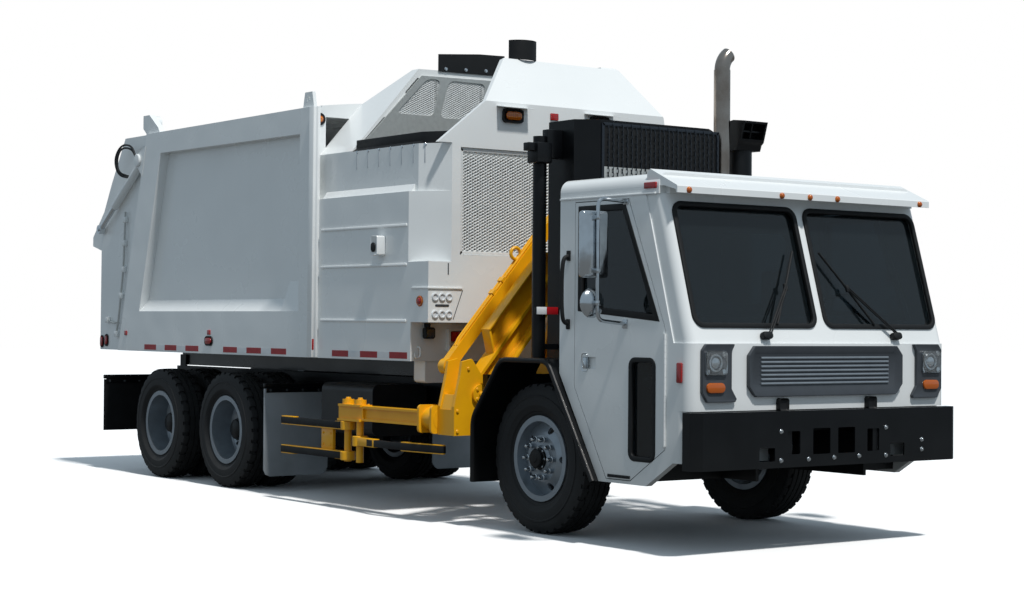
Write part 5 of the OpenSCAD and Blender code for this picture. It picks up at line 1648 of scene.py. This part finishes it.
@dataclass
class Gate:
    """Latch rods, hoses, lamps and back panel of the tailgate."""

    flank_y: float = 1.130
    back_x: float = -4.471
    bustle_x: float = -4.680
    hose_y: float = 1.240
    lamps: tuple[Point, Point] = ((-4.314, 1.285), (-4.420, 1.272))

    def build(self) -> None:
        """Builds and dresses the tailgate."""
        for side in Side:
            self.latch(side)
            self.hoses(side)
            self.side_lamps(side)
        self.back()

    def latch(self, side: Side) -> None:
        """Latch rod with its clamps down one flank.

        Args:
            side: Which side of the truck.
        """
        s, tag = side.value, side.tag
        y = s * (self.flank_y + 0.022)
        rod = tube("rod", bent([(-3.872, y, 2.560), (-3.905, y, 1.990), (-4.005, y, 1.470), (-4.060, y, 1.330)], 0.1),
                   0.010)
        crank = tube("crank", bent([(-4.005, y, 1.470), (-4.120, y, 1.455), (-4.265, y, 1.490)], 0.04), 0.008)
        wear(join(f"latch_rod_{tag}", [rod, crank]), GALVANISED, "tailgate")
        clamps = []
        for x, z in ((-3.876, 2.480), (-3.890, 2.250), (-3.905, 1.990), (-3.956, 1.730), (-4.262, 1.488),
                     (-4.052, 1.350)):
            lo, hi = sorted((s * (self.flank_y - 0.001), s * (self.flank_y + 0.038)))
            clamps.append(block("clamp", (x - 0.026, lo, z - 0.030), (x + 0.026, hi, z + 0.030), 0.008))
        wear(join(f"latch_clamps_{tag}", clamps), WHITE, "tailgate")

    def hoses(self, side: Side) -> None:
        """Two hose loops that feed one gate cylinder, and the boss on its pin.

        Args:
            side: Which side of the truck.
        """
        y = side.value * self.hose_y
        for name, far, gap in (("outer", -3.960, 0.0), ("inner", -3.900, 0.030)):
            route = [(-3.470, y, 3.075), (-3.560, y, 3.190 - gap), (-3.800, y, 3.215 - gap), (far, y, 3.080),
                     (-3.860, y, 2.910 + gap), (-3.700 - gap, y - side.value * 0.054, 2.885 + gap / 2)]
            hose(f"gate_hose_{name}_{side.tag}", route, 0.14, 0.020, HOSE, "gate_barrels")
        boss = [(0, 0), (0.058, 0), (0.062, 0.004), (0.062, 0.016), (0.056, 0.022), (0.020, 0.025), (0, 0.025)]
        spot = moved(skin(side, 1.2265), side.value * 3.443, 3.038)
        wear(lathe(f"gate_pin_boss_{side.tag}", boss, spot, 28), WHITE, "gate_barrels")

    def side_lamps(self, side: Side) -> None:
        """Two upright oval lamps low on one flank.

        Args:
            side: Which side of the truck.
        """
        tag, f = side.tag, -side.value
        at = skin(side, self.flank_y)
        rims = [plate("rim", rounded(-0.040, -0.062, 0.040, 0.062, 0.039), moved(at, f * x, z, SUNK), 0.014, 0.004,
                      dish=(0.012, 0.008)) for x, z in self.lamps]
        wear(join(f"gate_lamp_rims_{tag}", rims), RUBBER, "tailgate")
        eyes = [pill("eye", moved(at, f * x, z, 0.004), 0.050, 0.092, 0.014, 0.005) for x, z in self.lamps]
        wear(join(f"gate_lamps_{tag}", eyes), RED, "tailgate")

    def back(self) -> None:
        """Ribs, lamp clusters and tape on the gate's back."""
        at = stern(self.back_x)
        ribs = [plate("rib", [(y - 0.040, 1.420), (y + 0.040, 1.420), (y + 0.040, 2.130), (y - 0.040, 2.130)],
                      moved(at, 0, 0, SUNK), 0.040, 0.010) for y in (-0.840, -0.420, 0.0, 0.420, 0.840)]
        rail = plate("rail", [(-1.100, 1.380), (1.100, 1.380), (1.100, 1.440), (-1.100, 1.440)], moved(at, 0, 0, SUNK),
                     0.046, 0.010)
        wear(join("gate_ribs", [*ribs, rail]), WHITE, "tailgate")
        rims, reds, ambers, clears = [], [], [], []
        eye = [(0, 0.004), (0.050, 0.004), (0.050, 0.014), (0.034, 0.022), (0, 0.025)]
        for s in (-1, 1):
            for k, kind in enumerate((reds, ambers, clears)):
                spot = moved(at, s * (0.990 - 0.150 * k), 1.300, SUNK)
                rims.append(lathe("rim", [(0.050, 0), (0.050, 0.012), (0.062, 0.012), (0.066, 0.004), (0.066, 0)], spot,
                                  28))
                kind.append(lathe("eye", eye, spot, 28))
        for y in (-0.150, 0.0, 0.150):
            spot = moved(stern(self.bustle_x), y, 2.285, SUNK)
            reds.append(pill("high", spot, 0.090, 0.036, 0.012, 0.004))
        wear(join("rear_lamp_rims", rims), RUBBER, "tailgate")
        wear(join("rear_lamps_red", reds), RED, "tailgate")
        wear(join("rear_lamps_amber", ambers), AMBER, "tailgate")
        wear(join("rear_lamps_clear", clears), CLEAR, "tailgate")
        strips = [plate("strip", [(y, 1.200), (y + 0.250, 1.200), (y + 0.250, 1.245), (y, 1.245)],
                        moved(at, 0, 0, TAPE_SUNK), TAPE_HEIGHT) for y in (-1.100, -0.660, -0.220, 0.220, 0.660)]
        wear(join("rear_tape", strips), TAPE_RED, "tailgate")


@dataclass
class Arm:
    """Stiffeners, pins, lines and hoses of the lifting arm, and the gripper's fingers."""

    arm_x: float = 2.040
    link_x: float = 1.875
    pivot: Point = (-1.102, 0.963)
    link_pivot: Point = (-1.212, 1.163)
    slope: float = math.radians(48.9)
    finger_y: float = -1.300
    posts: Point = (0.620, 0.800)
    hub_r: float = 0.062
    bore_r: float = 0.0303

    def along(self, x: float, origin: Point) -> Matrix:
        """Working plane at x with u up along the arm, v above it and the normal forward."""
        c, s = math.cos(self.slope), math.sin(self.slope)
        return plane((x, *origin), (0, c, s), (0, -s, c))

    def build(self) -> None:
        """Builds and dresses the arm."""
        self.boom()
        self.link()
        self.bracket()
        self.rear_finger()
        self.front_finger()

    def boom(self) -> None:
        """Web and flange above the arm, a lower flange and the pin cap's bolts."""
        at = self.along(self.arm_x - 0.012, self.pivot)
        web = plate("web", [(0.345, 0.066), (1.290, 0.066), (1.215, 0.212), (0.450, 0.212)], at, 0.024)
        crown = [(0.438, 0.212), (1.228, 0.212), (1.228, 0.226), (0.438, 0.226)]
        rim = plate("rim", crown, self.along(self.arm_x - 0.056, self.pivot), 0.112, 0.002)
        feet = [plate("foot", points, self.along(self.arm_x - 0.050, self.pivot), 0.100, 0.002)
                for points in ([(0.330, 0.070), (0.346, 0.066), (0.452, 0.214), (0.438, 0.224)],
                               [(1.305, 0.070), (1.289, 0.066), (1.213, 0.214), (1.228, 0.224)])]
        lower = plate("lower", [(0.330, -0.078), (1.300, -0.078), (1.270, -0.056), (0.360, -0.056)],
                      self.along(self.arm_x + 0.068, self.pivot), 0.052, 0.003)
        wear(join("boom_stiffeners", [web, rim, *feet, lower]), YELLOW, "lift_arm")
        cap = moved(nose(self.arm_x + 0.127), *self.pivot)
        bolts = scatter("bolts", bolt_head(0.011, 0.009), ring_spots(cap, 4, 0.050, start=0.5))
        nub = lathe("nub", [(0, -0.001), (0.020, -0.001), (0.020, 0.008), (0.010, 0.014), (0, 0.014)], cap, 16)
        wear(join("pin_cap_bolts", [bolts, nub]), YELLOW, "lift_arm")

    def link(self) -> None:
        """Lifting ring and two hydraulic lines on the levelling link."""
        eye = lathe("eye", hoop(0.044, 0.014), moved(self.along(self.link_x, self.link_pivot), 1.060, 0.094), 28)
        foot = block_on(moved(self.along(self.link_x, self.link_pivot), 1.060, 0.050), (0.090, 0.020, 0.040), 0.005)
        wear(join("link_ring", [eye, foot]), YELLOW, "level_link")
        lines = []
        for x in (-0.016, 0.016):
            at = self.along(self.link_x + x, self.link_pivot)
            route = ((0.170, 0.043), (0.230, 0.055), (1.300, 0.055), (1.360, 0.043))
            lines.append(tube("line", [at @ Vector((u, v, 0)) for u, v in route], 0.009))
        wear(join("link_lines", lines), YELLOW, "level_link")

    def bracket(self) -> None:
        """Hoses and bolts of the bracket, and the caps' nuts on the beam."""
        x = self.arm_x - 0.104
        for i, y in enumerate((-1.172, -1.146)):
            top, low = 1.000 - 0.012 * i, 0.858 + 0.012 * i
            route = [(x, y, top), (x - 0.110, y, top), (x - 0.150 + 0.01 * i, y, 0.930), (x - 0.110, y + 0.02, low),
                     (x, y + 0.02, low)]
            hose(f"bracket_hose_{i + 1}", route, 0.075, 0.016, HOSE, "arm_bracket")
        places = [(-1.300, 0.690), (-1.170, 0.690), (-1.300, 0.840), (-1.205, 1.150)]
        heads = scatter("bracket_bolts", bolt_head(0.012, 0.010), spots_on(nose(self.arm_x + 0.104), places))
        wear(heads, YELLOW, "arm_bracket")
        nuts = scatter("beam_nuts", bolt_head(0.022, 0.018),
                       spots_on(deck(0.873), [(p, self.finger_y) for p in self.posts]))
        places = [(0.575, -1.262), (0.700, -1.262), (0.860, -1.262), (0.860, -1.335)]
        small = scatter("small", bolt_head(0.010, 0.008), spots_on(deck(0.8355), places))
        wear(join("beam_nuts", [nuts, small]), YELLOW, "grip_beam")

    def hub(self, x: float, low: float, high: float) -> Piece:
        """Bored hub of a finger on its post.

        Args:
            x: Place of the post.
            low: Height of its lower face.
            high: Height of its upper face.

        Returns:
            The hub.
        """
        r, bore, tall = self.hub_r, self.bore_r, high - low
        profile = [(bore, 0), (r - 0.004, 0), (r, 0.004), (r, tall - 0.004), (r - 0.004, tall), (bore, tall)]
        return lathe("hub", profile, moved(deck(low), x, self.finger_y), 32)

    def rear_finger(self) -> None:
        """Two black pads in a yellow frame."""
        x, y = self.posts[0], self.finger_y
        tip = x - 1.028
        pads, frames = [], []
        for z in (0.390, 0.630):
            pads.append(plate("pad", rounded(tip, y - 0.040, x - 0.046, y + 0.020, 0.026), deck(z + 0.008), 0.054,
                              0.004))
            inner = z + 0.062 if z < 0.5 else z
            outer = z if z < 0.5 else z + 0.062
            frames.append(plate("strip", rounded(tip + 0.004, y - 0.038, x - 0.040, y + 0.018, 0.024), deck(inner),
                                0.008, 0.002))
            frames.append(plate("tip", rounded(tip + 0.004, y - 0.038, tip + 0.230, y + 0.018, 0.024), deck(outer),
                                0.008, 0.002))
            frames.append(self.hub(x, z, z + 0.070))
            frames.append(block("clevis", (x - 0.150, y - 0.036, z + 0.004), (x - 0.048, y + 0.016, z + 0.066), 0.006))
        frames.append(block("web", (x - 0.400, y - 0.010, 0.458), (x - 0.220, y + 0.018, 0.632), 0.004))
        for z in (0.500, 0.590):
            heads = scatter("head", bolt_head(0.009, 0.007),
                            [moved(flank(y - 0.0095), x - u, z) for u in (0.370, 0.250)])
            frames.append(heads)
        wear(join("finger_rear_pads", pads), RUBBER, "finger_rear", stands_for=["finger_rear"])
        wear(join("finger_rear_frame", frames), YELLOW, "finger_rear")

    def front_finger(self) -> None:
        """Bent black pad between yellow plates."""
        x, y = self.posts[1], self.finger_y
        long = [(0.200, -0.010), (0.560, -0.060), (0.760, -0.040), (1.180, 0.010), (1.200, 0.000), (1.202, -0.020),
                (1.180, -0.035), (0.760, -0.085), (0.560, -0.105), (0.200, -0.067)]
        root = [(-0.020, -0.050), (0.060, 0.010), (0.330, -0.027), (0.330, -0.081), (0.060, -0.050)]
        end = [(0.720, -0.046), (1.180, 0.008), (1.198, -0.002), (1.200, -0.020), (1.180, -0.033), (0.720, -0.087)]

        def placed(points: Sequence[Point]) -> list[Point]:
            """Moves an outline to the finger's post."""
            return [(x + u, y + v) for u, v in points]

        pad = plate("finger_front_pad", placed(long), deck(0.523), 0.054, 0.003)
        wear(pad, RUBBER, "finger_front", stands_for=["finger_front"])
        parts = [self.hub(x, 0.510, 0.590), plate("root", placed(root), deck(0.517), 0.066, 0.004)]
        parts += [plate("end", placed(end), deck(z), 0.008, 0.002) for z in (0.515, 0.577)]
        wear(join("finger_front_frame", parts), YELLOW, "finger_front")


@dataclass
class Guards:
    """Mud flaps, their hangers and the front fenders' rolled edges."""

    front_x: float = -0.940
    rear_x: float = -4.220
    half: float = 1.200
    rail_y: float = 0.430
    axle_x: float = 2.875
    flap_t: float = 0.010
    wave: float = 0.004

    def build(self) -> None:
        """Builds and dresses the flaps and fenders."""
        fronts, rears, hangers, heads = [], [], [], []
        for s in (-1, 1):
            sheet = [(0.560, 0.905), (0.560, 0.205), (0.590, 0.160), (0.620, 0.145), (1.140, 0.145), (1.180, 0.163),
                     (1.200, 0.205), (1.200, 0.905)]
            fronts.append(self.sheet(self.front_x, [(s * y, z) for y, z in sheet]))
            square = [(0.600, 0.895), (0.600, 0.385), (1.200, 0.385), (1.200, 0.895)]
            rears.append(self.sheet(self.rear_x, [(s * y, z) for y, z in square]))
            for x, z, inner in ((self.front_x, 0.915, self.rail_y), (self.rear_x, 0.900, self.rail_y - 0.040)):
                lo, hi = sorted((s * inner, s * self.half))
                hangers.append(block("hanger", (x - 0.020, lo, z), (x + 0.020, hi, z + (0.035 if x > -2 else 0.040)),
                                     0.006))
                lo, hi = sorted((s * 0.62, s * 1.18))
                hangers.append(block("clamp", (x + 0.006, lo, z - 0.045), (x + 0.012, hi, z + 0.002), 0.002))
                heads += [moved(nose(x + 0.0115), s * (0.660 + 0.160 * i), z - 0.024) for i in range(4)]
            lo, hi = sorted((s * (self.rail_y - 0.040), s * self.rail_y))
            hangers.append(block("arm", (self.rear_x - 0.020, lo, 0.901), (self.rear_x + 0.070, hi, 0.939), 0.004))
        wear(join("front_flaps", fronts), SHEET, "chassis", stands_for=["mudflaps"])
        wear(join("rear_flaps", rears), RUBBER, "chassis")
        wear(join("flap_hangers", hangers), BLACK, "chassis")
        wear(scatter("flap_bolts", bolt_head(0.010, 0.008), heads), MACHINE, "chassis")
        self.edges()

    def sheet(self, x: float, points: Sequence[Point]) -> Piece:
        """Makes one hanging flap with a slight wave.

        Args:
            x: Place along the truck.
            points: The flap's outline across it.

        Returns:
            The flap.
        """
        flap = plate("sheet", points, nose(x - self.flap_t / 2), self.flap_t)
        edit(flap)
        for z in (0.55, 0.75):
            bpy.ops.mesh.select_all(action="SELECT")
            bpy.ops.mesh.bisect(plane_co=(x, 0, z), plane_no=(0, 0, 1))
        close()
        for v in flap.data.vertices:
            v.co.x += self.wave * math.sin(9.0 * v.co.y) * min(1.0, max(0.0, (0.9 - v.co.z) * 2))
        return soften(flap, 0.002)

    def edges(self) -> None:
        """Rolled outer edges of the two front fenders."""
        a = self.axle_x
        for side in Side:
            y = side.value * 1.244
            corners = [(a - 0.614, y, 0.334), (a - 0.614, y, 0.797), (a - 0.274, y, 1.228), (a + 0.274, y, 1.228),
                       (a + 0.784, y, 0.430)]
            wear(tube(f"fender_edge_{side.tag}", bent(corners, 0.07, 8), 0.019), BLACK, "chassis")


@dataclass
class Studio:
    """Floor, lights and the camera at the photograph's place."""

    eye: Spot = (13.789, -9.362, 1.485)
    yaw: float = math.radians(143.720)
    pitch: float = math.radians(1.183)
    roll: float = math.radians(0.497)
    focal_px: float = 1930.72
    size_px: tuple[int, int] = (1024, 598)
    middle_v: float = 283.81
    sensor_mm: float = 36.0
    floor_size: float = 160.0
    sun_strength: float = 3.1
    sun_spread: float = math.radians(4)
    sun_way: Spot = (-0.455, 0.04, -0.89)
    surround: float = 0.66

    def build(self) -> None:
        """Sets the stage."""
        self.camera()
        self.floor()
        self.light()

    def camera(self) -> None:
        """Sets the camera by its calibrated turn, lens and shift."""
        level = math.cos(self.pitch)
        ahead = Vector((math.cos(self.yaw) * level, math.sin(self.yaw) * level, math.sin(self.pitch)))
        flat = ahead.cross(Vector((0, 0, 1))).normalized()
        lift = flat.cross(ahead)
        right = flat * math.cos(self.roll) + lift * math.sin(self.roll)
        up = lift * math.cos(self.roll) - flat * math.sin(self.roll)
        data = bpy.data.cameras.new("view")
        data.sensor_width = self.sensor_mm
        data.lens = self.sensor_mm * self.focal_px / self.size_px[0]
        data.shift_y = (self.middle_v - self.size_px[1] / 2) / self.size_px[0]
        data.clip_end = 500.0
        camera = bpy.data.objects.new("view", data)
        bpy.context.scene.collection.objects.link(camera)
        camera.matrix_world = Matrix(((right.x, up.x, -ahead.x, self.eye[0]), (right.y, up.y, -ahead.y, self.eye[1]),
                                      (right.z, up.z, -ahead.z, self.eye[2]), (0, 0, 0, 1)))
        bpy.context.scene.camera = camera
        bpy.context.scene.view_settings.view_transform = "Standard"

    def floor(self) -> None:
        """Lays a plain pale floor."""
        bpy.ops.object.select_all(action="DESELECT")
        bpy.ops.mesh.primitive_plane_add(size=self.floor_size, location=(0, 0, -0.001))
        ground = bpy.context.object
        ground.name = "floor"
        ground.data.materials.append(self.paper())

    def paper(self) -> bpy.types.Material:
        """Pale floor that throws little light back up at the truck.

        Returns:
            The floor's material.
        """
        mat = bpy.data.materials.new("pale_studio_floor")
        mat.use_nodes = True
        tree = mat.node_tree
        tree.nodes.clear()
        seen = add_node(tree, "ShaderNodeLightPath", {}, {}).outputs["Is Camera Ray"]
        pale = add_node(tree, "ShaderNodeBsdfDiffuse", {}, {"Color": linear("#fbfbfb")})
        dull = add_node(tree, "ShaderNodeBsdfDiffuse", {}, {"Color": linear("#6b6c6c")})
        mixed = add_node(tree, "ShaderNodeMixShader", {}, {0: seen, 1: dull.outputs[0], 2: pale.outputs[0]})
        add_node(tree, "ShaderNodeOutputMaterial", {}, {"Surface": mixed.outputs[0]})
        return mat

    def light(self) -> None:
        """Lights the truck from high in front, with a soft even surround."""
        sun = bpy.data.lights.new("key", "SUN")
        sun.energy, sun.angle, sun.color = self.sun_strength, self.sun_spread, (1.0, 0.98, 0.95)
        lamp = bpy.data.objects.new("key", sun)
        bpy.context.scene.collection.objects.link(lamp)
        lamp.rotation_euler = Vector(self.sun_way).to_track_quat("-Z", "Y").to_euler()
        world = bpy.data.worlds.new("surround")
        bpy.context.scene.world = world
        world.use_nodes = True
        tree = world.node_tree
        tree.nodes.clear()
        path = add_node(tree, "ShaderNodeLightPath", {}, {})
        soft = add_node(tree, "ShaderNodeBackground", {}, {"Color": linear("#b9cbd9"), "Strength": self.surround})
        pale = add_node(tree, "ShaderNodeBackground", {}, {"Color": linear("#ffffff"), "Strength": 1.0})
        mixed = add_node(tree, "ShaderNodeMixShader", {},
                         {0: path.outputs["Is Camera Ray"], 1: soft.outputs[0], 2: pale.outputs[0]})
        add_node(tree, "ShaderNodeOutputWorld", {}, {"Surface": mixed.outputs[0]})


def dress_frame() -> None:
    """Gives every CAD node the finish of its slot."""
    for name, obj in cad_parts.items():
        obj.data.materials.clear()
        obj.data.materials.append(NODE_FINISH.get(name, SLOT_FINISH[NODE_SLOT[name]]).make())


def main() -> None:
    """Builds the truck's looks in order and reports each piece."""
    logging.basicConfig(level=logging.INFO, format="%(name)s: %(message)s")
    Studio().build()
    dress_frame()
    for assembly in (Wheels(), Cab(), Hopper(), LoadBody(), Gate(), Arm(), Guards()):
        LOG.info("building %s", type(assembly).__name__)
        assembly.build()


if __name__ == "__main__":
    main()
